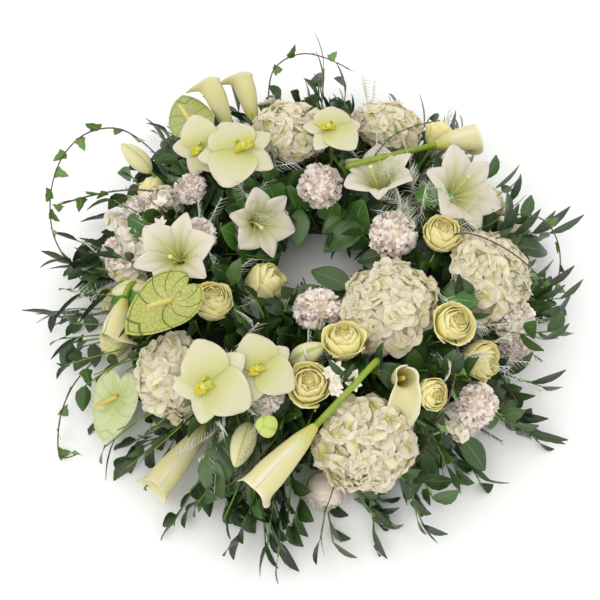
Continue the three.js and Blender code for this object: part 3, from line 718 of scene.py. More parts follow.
def pointed_leaf(length, half, bow, fold, rows, columns, seed=0.5):
    """A pointed leaf or sepal along +X with its upper side at +Z, bowing down towards its tip."""

    def shape(u, v):
        width = half * np.sin(np.pi * np.clip(0.03 + 0.94 * v, 0, 1) ** 0.85) ** 0.9
        droop = -bow * length * v**2
        return v * length, u * width, droop + fold * np.abs(u) * width

    return petal(shape, rows, columns, seed)


CREAM_ROSE = finish_of(
    "rose_petal", TISSUE, bump=0.2, depth=0.0005, glow=0.3, Heart=(232, 226, 124), Body=(244, 234, 168),
    Edge=(242, 231, 166), Heart_Reach=0.7, Edge_Width=0.2, Veins=0.25, Vein_Count=16.0,
)
BLUSH_ROSE = finish_of(
    "blush_rose_petal", TISSUE, bump=0.2, depth=0.0005, glow=0.45, Heart=(232, 208, 178),
    Body=(242, 228, 212), Edge=(242, 226, 212), Heart_Reach=0.6, Edge_Width=0.25, Veins=0.35,
    Vein_Count=16.0,
)
SEPAL_GREEN = finish_of(
    "sepal_green", MOTTLE, bump=0.3, depth=0.0003, First=(78, 108, 44), Second=(110, 138, 62), Scale=90.0,
)


def lathe(profile, place, material, sides=12, swell=0.0):
    """A closed skin turned round Z from a profile of [radius, height] points, and put in its place.
    swell makes it three-lobed."""
    rows = 2 * len(profile) + 1
    along, across = np.meshgrid(np.linspace(0, 1, rows), np.linspace(-1, 1, sides + 1)[:-1], indexing="ij")
    heights = np.linspace(0, 1, len(profile))
    r, z = (np.interp(along, heights, [point[i] for point in profile]) for i in (0, 1))
    angle = across * math.pi
    r = r * (1 + swell * np.cos(3 * angle))
    points = np.stack([r * np.cos(angle), r * np.sin(angle), z], -1).reshape(-1, 3)
    faces = []
    for i in range(rows - 1):
        for k in range(sides):
            a, b = i * sides + k, i * sides + (k + 1) % sides
            faces.append((a, b, b + sides, a + sides))
    faces += [tuple(range(sides))[::-1], tuple(range((rows - 1) * sides, rows * sides))]
    mesh = bpy.data.meshes.new("turned")
    mesh.from_pydata(points.tolist(), [], faces)
    marks = np.stack([across, along, np.full_like(across, 0.5)], -1).reshape(-1, 3)
    blade = mesh.attributes.new("blade", "FLOAT_VECTOR", "POINT")
    blade.data.foreach_set("vector", marks.astype(np.float32).ravel())
    mesh.update()
    mesh.transform(Matrix(place))
    mesh.materials.append(material)
    return mesh


def rose_bloom(name, stand, radius, middle, seed, opened, finish, replaced=()):
    """A rose on its stem, with a solid heart inside its petals and sepals below it."""
    centre = stand @ shifted(0, 0, middle)
    sheets = laid(centre, [(points * radius, marks) for points, marks in rose_sheets(seed, opened)])
    petals = shells(name, sheets, 0.0007, finish)
    heart = [[0.1, -0.84], [0.5, -0.72], [0.76, -0.45], [0.76, 0.1], [0.58, 0.46], [0.25, 0.56], [0.02, 0.56]]
    heart = lathe(heart, centre @ np.diag([radius, radius, radius, 1]), finish, 16)
    sepals = []
    for k in range(5):
        under = stand @ shifted(0, 0, middle - 0.84 * radius) @ turned("Z", 72 * k) @ turned("Y", -28)
        sepals += laid(under, [pointed_leaf(0.95 * radius, 0.15 * radius, -0.25, 0.0, 6, 3)])
    sepals = shells(name, sepals, 0.0008, SEPAL_GREEN)
    bloom_at(stand, middle, 1.14 * radius)
    parts = merged(name, petals, heart, sepals, stem(stand, middle - 0.8 * radius, 0.003))
    piece(f"{name}_bloom", parts, replaced)


for number in range(1, 13):
    name = f"rose_{number}"
    stand, points = planted(name)
    radius = breadth(points) / 1.04
    middle = points[:, 2].max() - 0.75 * radius
    opened = 1.0 if number in (5, 6, 7) else 0.5
    finish = BLUSH_ROSE if number == 12 else CREAM_ROSE
    rose_bloom(name, stand, radius, middle, number, opened, finish, [name])


# A smaller blush rose and two cream ones, tucked in between the others.
rose_bloom("rose_13", standing(-84, 48), 0.022, 0.092, 13, 0.5, BLUSH_ROSE)
rose_bloom("rose_14", standing(-176, 88), 0.024, 0.104, 14, 0.5, CREAM_ROSE)
rose_bloom("rose_15", standing(150, 58), 0.022, 0.110, 15, 0.4, CREAM_ROSE)


# ---- Carnations ----------------------------------------------------------------------------------
# White carnations with a breath of pink: balls of ruffled petals with saw-toothed ends, which stand
# out of a slim green calyx.
def fringed_petal(seed):
    """A carnation petal of length 1 that stands along +Z, with a ruffled and toothed end."""
    chance = random.Random(seed)
    phase, side = chance.uniform(0, 6.28), chance.choice((-1, 1))

    def shape(u, v):
        teeth = np.where(np.arange(u.shape[1]) % 2, 0.07, -0.05) * np.where(v > 0.9, 1, 0.0)
        fan = 0.07 + 0.46 * v**1.3
        ruffle = 0.13 * np.sin(5.5 * u + phase) * v**2
        return u * fan, ruffle + side * 0.42 * v**3, v + teeth - 0.18 * u**2 * v

    return petal(shape, 5, 9, chance.random())


CARNATION_PETAL = finish_of(
    "carnation_petal", TISSUE, bump=0.2, depth=0.0004, glow=0.15, Heart=(252, 236, 214),
    Body=(250, 239, 231), Edge=(250, 240, 235), Heart_Reach=0.6, Edge_Width=0.2, Veins=0.2, Vein_Count=12.0,
)
fringed = gathered("fringed", [shells("fringed", [fringed_petal(i)], 0.03) for i in range(5)])


def carnation_bloom(name, stand, radius, middle, seed, replaced=()):
    """A carnation on its stem: petals that stand all over a core, above a slim calyx."""
    ball = icosphere(3)
    whole = ball.verts[:] + ball.edges[:] + ball.faces[:]
    bmesh.ops.bisect_plane(ball, geom=whole, plane_co=(0, 0, -0.62), plane_no=(0, 0, -1), clear_outer=True)
    bmesh.ops.holes_fill(ball, edges=ball.edges[:])
    for vertex in ball.verts:
        vertex.co = Vector((vertex.co.x * 0.72, vertex.co.y * 0.72, vertex.co.z * 0.58)) * radius
    core = mesh_of(ball, name)
    core.attributes.new("blade", "FLOAT_VECTOR", "POINT")
    spacing = 0.0044 * radius / 0.030  # 4.4 mm between the petals of a carnation of 30 mm radius
    mesh = grown(
        name, OVER_SURFACE, core, Shapes=fringed, Spacing=spacing, Size=0.40 * radius, Tilt=0.34, Seed=seed,
        Shape_Material=CARNATION_PETAL, Surface_Material=CARNATION_PETAL,
    )
    mesh.transform(Matrix(stand @ shifted(0, 0, middle)))
    calyx = [[0.002, -0.052], [0.0055, -0.049], [0.0075, -0.036], [0.0085, -0.020], [0.011, -0.010]]
    calyx = lathe(calyx, stand @ shifted(0, 0, middle + 0.006), SEPAL_GREEN)
    bloom_at(stand, middle, radius * 1.15)
    parts = merged(name, mesh, calyx, stem(stand, middle - 0.04, 0.0022))
    piece(f"{name}_bloom", parts, replaced)


for number in range(1, 7):
    name = f"carnation_{number}"
    stand, points = planted(name)
    radius = breadth(points) / 1.05
    carnation_bloom(name, stand, radius, points[:, 2].max() - 0.6 * radius, number, [name])


# Smaller carnations in between. Most stand low on the outside, and one leans over the opening.
for number, (at, lean, reach, radius) in enumerate((
    (-15, 66, 0.150, 0.030), (-42, 66, 0.150, 0.028), (160, 52, 0.128, 0.026), (166, -6, 0.112, 0.024),
    (-116, 88, 0.132, 0.022), (-84, -50, 0.156, 0.030), (72, 56, 0.140, 0.024), (170, 78, 0.140, 0.024),
    (176, 62, 0.130, 0.024), (146, 22, 0.118, 0.022), (28, 78, 0.150, 0.024), (118, 30, 0.120, 0.022),
), 7):
    stand = standing(at, lean)
    carnation_bloom(f"carnation_{number}", stand, radius, reach - FOOT - 0.6 * radius, number)


# ---- Lilies --------------------------------------------------------------------------------------
# Four open white lilies: trumpets of three broad and three narrower petals with turned-back tips, a
# yellow-green throat and midrib, six pale filaments whose anthers have been picked off, and a pistil.
LILY_PETAL = finish_of(
    "lily_petal", TISSUE, bump=0.3, depth=0.0006, glow=0.35, Heart=(184, 188, 90), Body=(222, 211, 198),
    Edge=(226, 213, 205), Heart_Reach=0.85, Edge_Width=0.3, Veins=0.5, Vein_Count=9.0, Midrib=0.75,
)
FILAMENT_GREEN = finish_of(
    "filament_green", MOTTLE, bump=0.2, depth=0.0003, First=(198, 210, 128), Second=(222, 226, 160),
    Scale=80.0,
)


def lily_petal(size, trumpet, half, seed):
    """A lily's petal, which rises along a trumpet round Z and turns back at its tip, towards +X."""
    chance = random.Random(seed)
    sway, twist = chance.uniform(-0.05, 0.05), chance.uniform(-0.12, 0.12)

    def shape(u, v):
        r = 0.0035 + (size - 0.0035) * v**1.5
        z = trumpet * np.sin(v * 1.75)
        width = half * (0.22 * (1 - v) + np.sin(np.pi * np.clip(v * 0.97 + 0.01, 0, 1) ** 1.15) ** 0.85)
        channel = -0.0035 * np.exp(-(u * 5) ** 2) * np.sin(np.pi * v)
        cup = 0.30 * width * np.abs(u) ** 1.8 * (1 - 1.5 * v)
        wave = 0.0018 * np.sin(7 * v + 5 * u) * np.abs(u) * v
        side = u * width + sway * size * v**2
        steep = np.cos(v * 1.75) * trumpet / size
        inward = cup + channel + wave + twist * u * width * v
        return r - inward * steep, side, z + inward * (1 - 0.5 * steep)

    return petal(shape, 12, 9, chance.random())


for number, nod, scale in ((1, 10, 1.04), (2, 4, 1.04), (3, -22, 1.24), (4, 30, 1.16)):
    name = f"lily_{number}"
    stand, points = planted(name)
    size = scale * breadth(points)
    trumpet = size * (1.15 if number == 3 else 0.8)
    throat = points[:, 2].max() - (0.018 if number == 3 else 0.002) - trumpet / scale
    foot = stand
    neck = shifted(*moved(stand, [0, 0, throat]))
    stand = neck @ turned("X", nod) @ np.linalg.inv(neck) @ stand
    sheets = []
    for k in range(6):
        broad = k % 2
        lift = shifted(0, 0, throat + (0.0012 if broad else 0.0))
        long, half = size * (0.98 if broad else 1.0), (0.40 if broad else 0.28) * size
        each = lily_petal(long, trumpet, half, number * 10 + k)
        sheets += laid(stand @ lift @ turned("Z", 60 * k), [each])
    petals = shells(name, sheets, 0.0010, LILY_PETAL)
    threads = []
    chance = random.Random(number)
    for k in range(6):
        angle = math.radians(60 * k + chance.uniform(-12, 12))
        out = chance.uniform(0.26, 0.36) * size
        end = (out * math.cos(angle), out * math.sin(angle), throat + chance.uniform(0.92, 1.08) * trumpet)
        bulge = (-0.003 * math.cos(angle), -0.003 * math.sin(angle), 0)
        threads.append(moved(stand, bent_line((0, 0, throat + 0.004), end, bulge)))
    filaments = stalks_along(threads, 0.0009, 6, FILAMENT_GREEN, 0.8)
    end = (0.10 * size, 0.16 * size, throat + 1.22 * trumpet)
    pistil = moved(stand, bent_line((0, 0, throat + 0.004), end, (0.002, -0.002, 0)))
    pistil = stalks_along([pistil], 0.0017, 8, FILAMENT_GREEN, 1.1)
    stigma = bead("stigma", 0.0034, flat=0.6, detail=2)
    stigma.transform(Matrix(stand @ shifted(*end)))
    stigma.materials.append(FILAMENT_GREEN)
    bloom_at(stand, throat + 0.7 * trumpet, size * 0.8)
    parts = merged(name, petals, filaments, pistil, stigma, stem(foot, throat, 0.0035))
    piece(f"{name}_bloom", parts, [name])


# ---- Lily buds -----------------------------------------------------------------------------------
# Closed lily buds: long ivory spindles of three folded petals, green along the seams.
BUD_SKIN, given = node_group("Shader", "bud_skin", {"Skin": "Color", "Seam": "Color"}, SURFACE)
across, along, chance = blade_marks(BUD_SKIN)
mottle = clouds(BUD_SKIN, 80.0, 3.0)
seam = ramp(maths("COSINE", across * (3 * math.pi)) + mottle * 0.3, -0.35, -1.0)
ends = ramp(maths("ABSOLUTE", along - 0.5), 0.30, 0.52)
greened = maths("MAXIMUM", seam * 0.85, ends * 0.8)
node(
    BUD_SKIN, "NodeGroupOutput", Color=mixed(greened, given["Skin"], given["Seam"]),
    Height=mottle - seam, Roughness=ramp(mottle, -1.4, 1.4),
)
LILY_BUD = finish_of(
    "lily_bud_skin", BUD_SKIN, bump=0.3, depth=0.0006, Skin=(224, 218, 170), Seam=(172, 182, 84),
)
BUD_PROFILE = [
    [0.02, 0], [0.42, 0.05], [0.86, 0.22], [1, 0.42], [0.9, 0.64], [0.6, 0.84], [0.28, 0.96], [0.02, 1],
]


def lily_bud(name, stand, radius, length, base, tip, axis, replaced=()):
    """A bud whose stem ends at base. It is tipped over about X or Y, seen from above."""
    neck = shifted(*moved(stand, [0, 0, base]))
    head = neck @ turned(axis, tip) @ np.linalg.inv(neck) @ stand @ shifted(0, 0, base)
    bud = lathe([[r * radius, z * length] for r, z in BUD_PROFILE], head, LILY_BUD, 18, 0.09)
    bloom_at(head, length * 0.5, length * 0.42)
    piece(f"{name}_skin", merged(name, bud, stem(stand, base + 0.002, 0.0025)), replaced)


for number, length, tip, axis in ((1, 0.056, 58, "Y"), (2, 0.066, 40, "X"), (3, 0.062, 0, "X")):
    name = f"lily_bud_{number}"
    stand, points = planted(name)
    radius = breadth(points) / 1.06
    lily_bud(name, stand, radius, length, points[:, 2].max() - length, tip, axis, [name])


lily_bud("lily_bud_4", standing(-172, 34), 0.0135, 0.058, 0.086, -70, "Y")


# ---- Orchids -------------------------------------------------------------------------------------
# Moth orchids: a flat waxy face of three sepals behind two broad round petals, cream with a green
# cast, and a small yellow lip spotted with brown under a pale column.
ORCHID_PETAL = finish_of(
    "orchid_petal", TISSUE, bump=0.2, depth=0.0005, coat=0.08, glow=0.3, Heart=(192, 194, 112),
    Body=(211, 205, 170), Edge=(217, 209, 188), Heart_Reach=0.70, Edge_Width=0.3, Veins=0.3,
    Vein_Count=14.0,
)
LIP, given = node_group("Shader", "spotted_lip", {"Flesh": "Color", "Spot": "Color"}, SURFACE)
place = node(LIP, "ShaderNodeTexCoord")["Object"]
cells = node(LIP, "ShaderNodeTexVoronoi", Vector=place, Scale=260.0)["Distance"]
patches = clouds(LIP, 110.0, 2.0)
spots = ramp(cells, 0.42, 0.2) * ramp(patches, 0.42, 0.56)
node(
    LIP, "NodeGroupOutput", Color=mixed(spots, given["Flesh"], given["Spot"]),
    Height=patches + spots, Roughness=ramp(patches, -1.0, 1.6),
)
ORCHID_LIP = finish_of("orchid_lip", LIP, bump=0.3, depth=0.0005, Flesh=(202, 196, 52), Spot=(186, 116, 34))
ORCHID_COLUMN = finish_of(
    "orchid_column", MOTTLE, bump=0.2, depth=0.0004, First=(214, 216, 132), Second=(196, 200, 84),
    Scale=90.0,
)


def tepal(length, half, roundness, bow, seed, lift=0.0, curl=0.0):
    """A sepal or petal of an orchid along +X."""
    chance = random.Random(seed)
    wave = chance.uniform(-1, 1)

    def shape(u, v):
        width = half * np.sin(np.pi * np.clip(0.06 + 0.90 * v, 0, 1) ** roundness) ** 0.62
        rise = bow * length * (0.9 * v - 1.5 * v**2) + curl * u**2 * half * v
        rise = rise + 0.012 * length * wave * np.sin(4 * v + 3 * u)
        return v * length * (1 - 0.05 * u**2), u * width, rise + lift

    return petal(shape, 10, 9, chance.random())


def orchid_face(size, seed, place):
    """The meshes of one orchid's face, put in its place: tepals, lip and column."""
    sheets = []
    for direction, half, length, roundness, lift in (
        (0, 0.36, 0.94, 0.92, -0.0016), (146, 0.35, 0.95, 0.88, -0.0016), (-146, 0.35, 0.95, 0.88, -0.0016),
        (72, 0.58, 1.04, 0.74, 0.0012), (-72, 0.58, 1.04, 0.74, 0.0012),
    ):
        each = tepal(size * length, size * half, roundness, 0.16, seed + direction, lift, -0.05)
        sheets += laid(turned("Z", direction), [each])
    face = shells("face", laid(place, sheets), 0.0011, ORCHID_PETAL)
    lips = []
    for side in (-1, 1):
        wing = shifted(-0.05 * size, side * 0.05 * size, 0.02 * size)
        wing = wing @ turned("Z", 180 - side * 62) @ turned("Y", -62)
        lips += laid(wing, [tepal(0.24 * size, 0.13 * size, 0.8, -0.5, seed + side, 0, 0.5)])
    tongue = shifted(-0.08 * size, 0, 0.05 * size) @ turned("Z", 180) @ turned("Y", -24)
    lips += laid(tongue, [tepal(0.34 * size, 0.13 * size, 1.2, 0.5, seed + 7, 0, 0.9)])
    lip = shells("lip", laid(place, lips), 0.0016, ORCHID_LIP)
    column = [[0.004, 0], [0.09, 0.04], [0.08, 0.14], [0.10, 0.22], [0.05, 0.29], [0.004, 0.30]]
    column = lathe(column, place @ turned("Y", -38) @ np.diag([size, size, size, 1]), ORCHID_COLUMN, 10)
    return [face, lip, column]


for number, scale, reach in ((1, 1.26, 0.148), (2, 1.08, 0.152)):
    name = f"orchid_{number}"
    stand, points = planted(name)
    size = scale * breadth(points)
    height = reach - FOOT
    face = orchid_face(size, number * 100, stand @ shifted(0, 0, height))
    bloom_at(stand, height + 0.02, size)
    piece(f"{name}_bloom", merged(name, *face, stem(stand, height, 0.0025)), [name])
stand = standing(133, 24, -60)
facing = shifted(*moved(stand, [0, 0, 0.132])) @ turned("X", 30) @ turned("Z", 35)
face = orchid_face(0.048, 500, facing)
bloom_at(facing, 0.012, 0.044)
piece("orchid_3_bloom", merged("orchid_3", *face, stem(stand, 0.132, 0.0025)))

stand, points = planted("orchid_spray_1")
size, height = 0.057, 0.158 - FOOT
second = stand @ shifted(1.02 * size, -0.42 * size, height - 0.4 * size) @ turned("Y", 22)
faces = orchid_face(size, 300, stand @ shifted(0, 0, height)) + orchid_face(0.84 * size, 400, second)
bloom_at(stand, height + 0.02, size * 1.1)
bloom_at(second, 0.02, size * 0.9)
bud_end = np.array([0.35, -1.55, 0]) * size + np.array([0, 0, height - 0.25 * size])
fork = np.array([0, 0, height * 0.42])
stalks = [bent_line((0, 0, 0), (0, 0, height), (0.002, 0.002, 0))]
for end in ((1.02 * size, -0.42 * size, height - 0.4 * size), bud_end):
    stalks.append(bent_line(fork, end, (0, 0, 0.006)))
stalks = stalks_along([moved(stand, route) for route in stalks], 0.0020, taper=0.8)
GREEN_BUD = finish_of(
    "orchid_bud", BUD_SKIN, bump=0.3, depth=0.0006, Skin=(196, 208, 112), Seam=(160, 182, 84),
)
bud = lathe(
    [[r * 0.25 * size, z * 0.55 * size] for r, z in BUD_PROFILE],
    stand @ shifted(*(bud_end - np.array([0, 0, 0.1 * size]))), GREEN_BUD, 18, 0.06,
)
mesh = merged("orchid_spray_1", *faces, stalks, bud)
piece("orchid_spray_1_blooms", mesh, ["orchid_spray_1"])


# ---- Anthuriums ----------------------------------------------------------------------------------
# Heart-shaped waxy spathes, yellow-green with a raised net of dark green veins that fan out from the
# notch, and a peach-coloured spadix with a greener tip.
SPATHE, given = node_group(
    "Shader", "net_veined_spathe",
    {"Flesh": "Color", "Middle": "Color", "Vein": "Color", "Strength": "Float"}, SURFACE,
)
angle, outward, chance = blade_marks(SPATHE)
fan = (maths("ABSOLUTE", angle) + outward * -0.30) * 15.0
main_veins = ramp(maths("ABSOLUTE", maths("SINE", fan)), 0.24, 0.04)
place = node(SPATHE, "ShaderNodeTexCoord")["Object"]
to_edge = {"feature": "DISTANCE_TO_EDGE"}
cells = node(SPATHE, "ShaderNodeTexVoronoi", to_edge, Vector=place, Scale=150.0)["Distance"]
net = ramp(cells, 0.12, 0.02) * 0.34
rim_vein = ramp(maths("ABSOLUTE", outward - 0.93), 0.03, 0.0)
veins = maths("MAXIMUM", maths("MAXIMUM", main_veins, net), rim_vein) * given["Strength"]
mottle = clouds(SPATHE, 45.0, 3.0)
flesh = mixed(ramp(outward, 0.75, 0.15), given["Flesh"], given["Middle"])
flesh = mixed(mottle * 0.3, flesh, given["Vein"])
node(
    SPATHE, "NodeGroupOutput", Color=mixed(veins, flesh, given["Vein"]),
    Height=mottle * 0.3 - veins, Roughness=ramp(mottle, -0.4, 2.2),
)
# The heart's radius from its tip round to its notch, in steps of 20 degrees.
HEART = [1.75, 1.42, 1.16, 1.02, 0.97, 0.96, 0.98, 1.0, 0.98, 0.62]
SPADIX_SKIN = finish_of(
    "spadix", MOTTLE, bump=0.8, depth=0.0008, shine=0.5, First=(232, 206, 122), Second=(214, 202, 110),
    Scale=55.0,
)


def heart_sheet(size, seed):
    """The heart as a sheet: across runs round its edge, along from the middle to the edge."""
    chance = random.Random(seed)
    phase = chance.uniform(0, 6.28)

    def shape(u, v):
        edge = np.interp(np.abs(u) * 180, np.arange(0, 181, 20), HEART) * size
        r = edge * (0.02 + 0.98 * v)
        angle = u * math.pi
        x, y = r * np.cos(angle), r * np.sin(angle)
        cup = 0.16 * size * v**2 + 0.04 * size * np.sin(3 * angle + phase) * v**3
        swollen = 0.012 * size * np.cos(17 * (np.abs(u) - 0.2 * v) * 2) * np.sin(np.pi * v)
        return x, y, cup + swollen

    return petal(shape, 12, 61, chance.random())


for number, (size, nod, swing, reach, flesh, middle, vein, strength) in enumerate((
    (0.037, 40, -20, 0.160, (182, 190, 112), (194, 190, 138), (98, 118, 38), 0.75),
    (0.044, 8, 0, 0.146, (186, 190, 92), (200, 196, 118), (84, 102, 20), 1.0),
    (0.039, 62, 43, 0.146, (208, 214, 164), (186, 198, 122), (136, 158, 80), 0.45),
), 1):
    name = f"anthurium_{number}"
    stand, points = planted(name)
    finish = finish_of(
        f"anthurium_spathe_{number}", SPATHE, bump=0.5, depth=0.0008, coat=0.25, Flesh=flesh, Middle=middle,
        Vein=vein, Strength=strength,
    )
    height = reach - FOOT
    face = stand @ shifted(0, 0, height) @ turned("Y", -nod)
    heart = shells(name, laid(face @ turned("Z", swing), [heart_sheet(size, number)]), 0.0016, finish)
    spadix = [(0.001, 0), (0.0036, 0.06), (0.0036, 0.4), (0.0028, 0.8), (0.0018, 0.97), (0.0003, 1)]
    spadix = lathe([[r, z * size] for r, z in spadix], face @ turned("Y", 52), SPADIX_SKIN)
    bloom_at(face @ turned("Z", swing), 0.012, size * 1.35, size * 0.3)
    stalk = moved(stand, bent_line((0, 0, 0), (0, 0, height), (0.001, 0.002, 0)))
    stalk = stalks_along([stalk], 0.0026, taper=0.9)
    piece(f"{name}_spathe", merged(name, heart, spadix, stalk), [name])


# ---- Callas --------------------------------------------------------------------------------------
# Seven callas: an ivory spathe rolled into a funnel round a yellow spadix, flaring to a rim that
# rolls back and ends in a curled tip, on a thick lime-green stem. Three stems are bent right over.
CALLA_SPATHE = finish_of(
    "calla_spathe", TISSUE, bump=0.25, depth=0.0005, coat=0.1, glow=0.3, Heart=(196, 194, 92),
    Body=(220, 212, 162), Edge=(232, 226, 198), Heart_Reach=0.42, Edge_Width=0.16, Veins=0.3,
    Vein_Count=40.0,
)
CALLA_STALK = finish_of(
    "calla_stalk", MOTTLE, bump=0.15, depth=0.0004, shine=0.35, First=(122, 148, 34), Second=(150, 172, 56),
    Scale=30.0,
)
CALLA_SPADIX = finish_of(
    "calla_spadix", MOTTLE, bump=0.8, depth=0.0006, First=(222, 190, 70), Second=(232, 206, 100),
    Scale=150.0,
)


def calla_flower(size, length, lip_length, seed, place):
    """Spathe and spadix, with the funnel's foot at the place, opening along its Z, the lip at its X."""
    chance = random.Random(seed)
    phase = chance.uniform(0, 6.28)

    def shape(u, v):
        angle = u * math.pi * 1.02
        towards = 0.5 + 0.5 * np.cos(angle)
        lip = towards ** max(3.0, 3.4 * lip_length)
        w = np.clip((v - 0.62) / 0.38, 0, 1)
        flare = w * w * (3 - 2 * w)
        widths = np.array([0.0046 / size, 0.27, 0.42, 0.53, 0.62, 0.76, 1.0])
        r = np.interp(v, [0, 0.08, 0.2, 0.35, 0.5, 0.78, 1], widths) * size
        r = r * (1 + flare * (0.66 + lip_length * lip - 1)) + 0.10 * size * w**4
        tip = np.exp(-((angle / 0.28) ** 2)) * w**3
        r = r + 0.22 * size * tip + 0.05 * size * np.sin(3 * angle + phase) * w**2 - 0.0012 * u * v
        z = v * length * (0.84 + 0.16 * towards) - 0.14 * length * lip * flare - 0.05 * length * w**5
        z = z - 0.10 * size * tip - 0.25 * size * (lip_length * lip * w) ** 2
        z = z + 0.03 * size * np.sin(4 * angle + phase) * w**2
        return r * np.cos(angle), r * np.sin(angle), z

    spathe = laid(place, [petal(shape, 18, 29, chance.random())])
    spathe = shells("spathe", spathe, 0.0014, CALLA_SPATHE)
    spadix = [(0.001, 0.04), (0.0038, 0.10), (0.0038, 0.5), (0.003, 0.60), (0.0006, 0.63)]
    spadix = lathe([[r, z * length] for r, z in spadix], place, CALLA_SPADIX)
    for share, room in ((0.15, 1.1), (0.45, 1.5), (0.75, 1.7), (1.0, 1.8)):
        bloom_at(place, length * share, size * room, size * 0.3 * share)
    if lip_length > 1:
        bloom_at(place, length * 0.7, size * 1.5, size * 1.7)
    return [spathe, spadix]


def calla(name, parts, route):
    """Makes a calla's parts a piece, on a thick stalk along the route."""
    stalk = stalks_along([route], 0.0045, 12, CALLA_STALK, 1.0)
    piece(f"{name}_flower", merged(name, *parts, stalk), [name])


for number, (reach, size, length, lip_length) in enumerate(
    (
        (0.176, 0.0235, 0.108, 0.75), (0.172, 0.0235, 0.096, 0.75), (0.152, 0.027, 0.146, 0.85),
        (0.118, 0.0205, 0.070, 2.9),
    ), 1
):
    name = f"calla_{number}"
    stand, points = planted(name)
    base = reach - FOOT - length / 2
    parts = calla_flower(size, length, lip_length, number, stand @ shifted(0, 0, base))
    route = bent_line((0, 0, 0), (0, 0, base + 0.004), (0.001, 0.001, 0))
    calla(name, parts, moved(stand, route))

for number, (reach, size, length, run, slope) in enumerate(
    ((0.136, 0.028, 0.138, 0.256, 11), (0.128, 0.026, 0.084, 0.228, 11), (0.122, 0.024, 0.072, 0.098, -3)), 1
):
    name = f"bent_calla_{number}"
    stand, points = planted(name)
    corner = np.array([0, 0, reach - FOOT])
    onward = np.array([math.cos(math.radians(slope)), 0, -math.sin(math.radians(slope))])
    base = corner + onward * (run - length)
    opening = stand @ shifted(*base) @ turned("Y", 90 + slope)
    parts = calla_flower(size, length, 0.75, 20 + number, opening)
    route = [(0, 0, 0), corner * 0.5, corner - [0, 0, 0.022], corner, corner + onward * 0.022]
    for share in (0.5, 0.8, 1.01):
        if (run - length) * share > 0.03:
            route.append(corner + onward * (run - length) * share)
    calla(name, parts, moved(stand, route))


# ---- Broad leaves --------------------------------------------------------------------------------
# Sprays of leathery dark green leaves, pushed in low all round so that they hide the foam. Each
# blade is folded along its midrib and has sunken side veins.
LEAF_SKIN, given = node_group(
    "Shader", "leaf_skin",
    {
        "Light": "Color", "Dark": "Color", "Vein": "Color", "Pairs": "Float",
        "Edge": "Color", "Edge Width": "Float",
    },
    SURFACE,
)
across, along, chance = blade_marks(LEAF_SKIN)
across = maths("ABSOLUTE", across)
mottle = clouds(LEAF_SKIN, 55.0, 4.0)
side_veins = (along * given["Pairs"] - across * 1.1 + mottle * 0.25) * math.pi
side_veins = ramp(maths("ABSOLUTE", maths("SINE", side_veins)), 0.16, 0.0) * 0.45
veins = maths("MAXIMUM", side_veins, ramp(across, 0.09, 0.02))
colour = mixed(chance * 0.75 + mottle * 0.35, given["Dark"], given["Light"])
colour = mixed(veins * 0.6, colour, given["Vein"])
margin = maths("GREATER_THAN", across + (mottle - 0.5) * 0.5, 1.0 - given["Edge Width"])
node(
    LEAF_SKIN, "NodeGroupOutput", Color=mixed(margin, colour, given["Edge"]),
    Height=mottle * 0.4 - veins, Roughness=ramp(mottle, -0.6, 1.9),
)
LEAF_THICKNESS = 0.0009
BROAD_LEAF = finish_of(
    "broad_leaf", LEAF_SKIN, bump=0.4, depth=0.0008, coat=0.15, Light=(72, 104, 44), Dark=(30, 54, 24),
    Vein=(100, 130, 68), Pairs=7.0, Edge=(40, 78, 34), Edge_Width=0.0,
)


def leaf_blade(length, half, bow, fold=0.16, rows=6, columns=5, seed=0.5, wave=0.0):
    """A broad leaf along +X with its upper side at +Z, folded along its midrib."""

    def shape(u, v):
        width = half * np.sin(np.pi * np.clip(0.02 + 0.965 * v, 0, 1) ** 0.8) ** 0.8
        bend = math.radians(bow) * v
        run = np.sin(bend) / math.radians(bow) if bow else v
        drop = (1 - np.cos(bend)) / math.radians(bow) if bow else 0 * v
        lift = fold * np.abs(u) * width + wave * width * np.sin(6 * v) * u
        return run * length + lift * np.sin(bend), u * width, lift * np.cos(bend) - drop * length

    return petal(shape, rows, columns, seed)


def clear_of_blooms(sheets):
    """The sheets that stand in no bloom."""
    return [sheet for sheet in sheets if not in_bloom(sheet[0].reshape(-1, 3), 0.9).any()]


def leafy_branch(stand, height, heading, run, climb, chance):
    """A branch from the top of a spray's stem, out over the ring's edge and up by climb: the route of
    its stalk, and its leaves."""
    up = np.array([0.0, 0.0, 1.0])
    out = stand[:3, 2] - up * stand[2, 2]
    out /= np.linalg.norm(out)
    onward = out * math.cos(math.radians(heading)) + stand[:3, 1] * math.sin(math.radians(heading))
    start = moved(stand, [0, 0, height - 0.0025])
    rise = start + onward * run / 2 + up * (climb / 2 + 0.012)
    end = start + onward * run + up * climb
    shares = np.linspace(0, 1, 9)[:, None]
    route = (1 - shares) ** 2 * start + 2 * shares * (1 - shares) * rise + shares**2 * end
    leaves = []
    for k in range(7):
        share = 0.30 + 0.68 * k / 6
        at = (1 - share) ** 2 * start + 2 * share * (1 - share) * rise + share**2 * end
        along = (1 - share) * (rise - start) + share * (end - rise)
        along /= np.linalg.norm(along)
        across = np.cross(up, along)
        across /= np.linalg.norm(across)
        spin = 0 if k == 6 else (k % 2 * 2 - 1) * (44 + chance.uniform(-8, 10))
        place = framed(at, along, across, np.cross(along, across)) @ turned("Z", spin)
        place = place @ turned("Y", chance.uniform(-12, 8))
        size = chance.uniform(0.85, 1.05)
        bow = 22 + chance.uniform(-8, 14)
        blade = leaf_blade(0.066 * size, 0.019 * size, bow, 0.16, 8, 7, chance.random(), 0.05)
        leaves += clear_of_blooms(laid(place, [blade]))
    return route, leaves


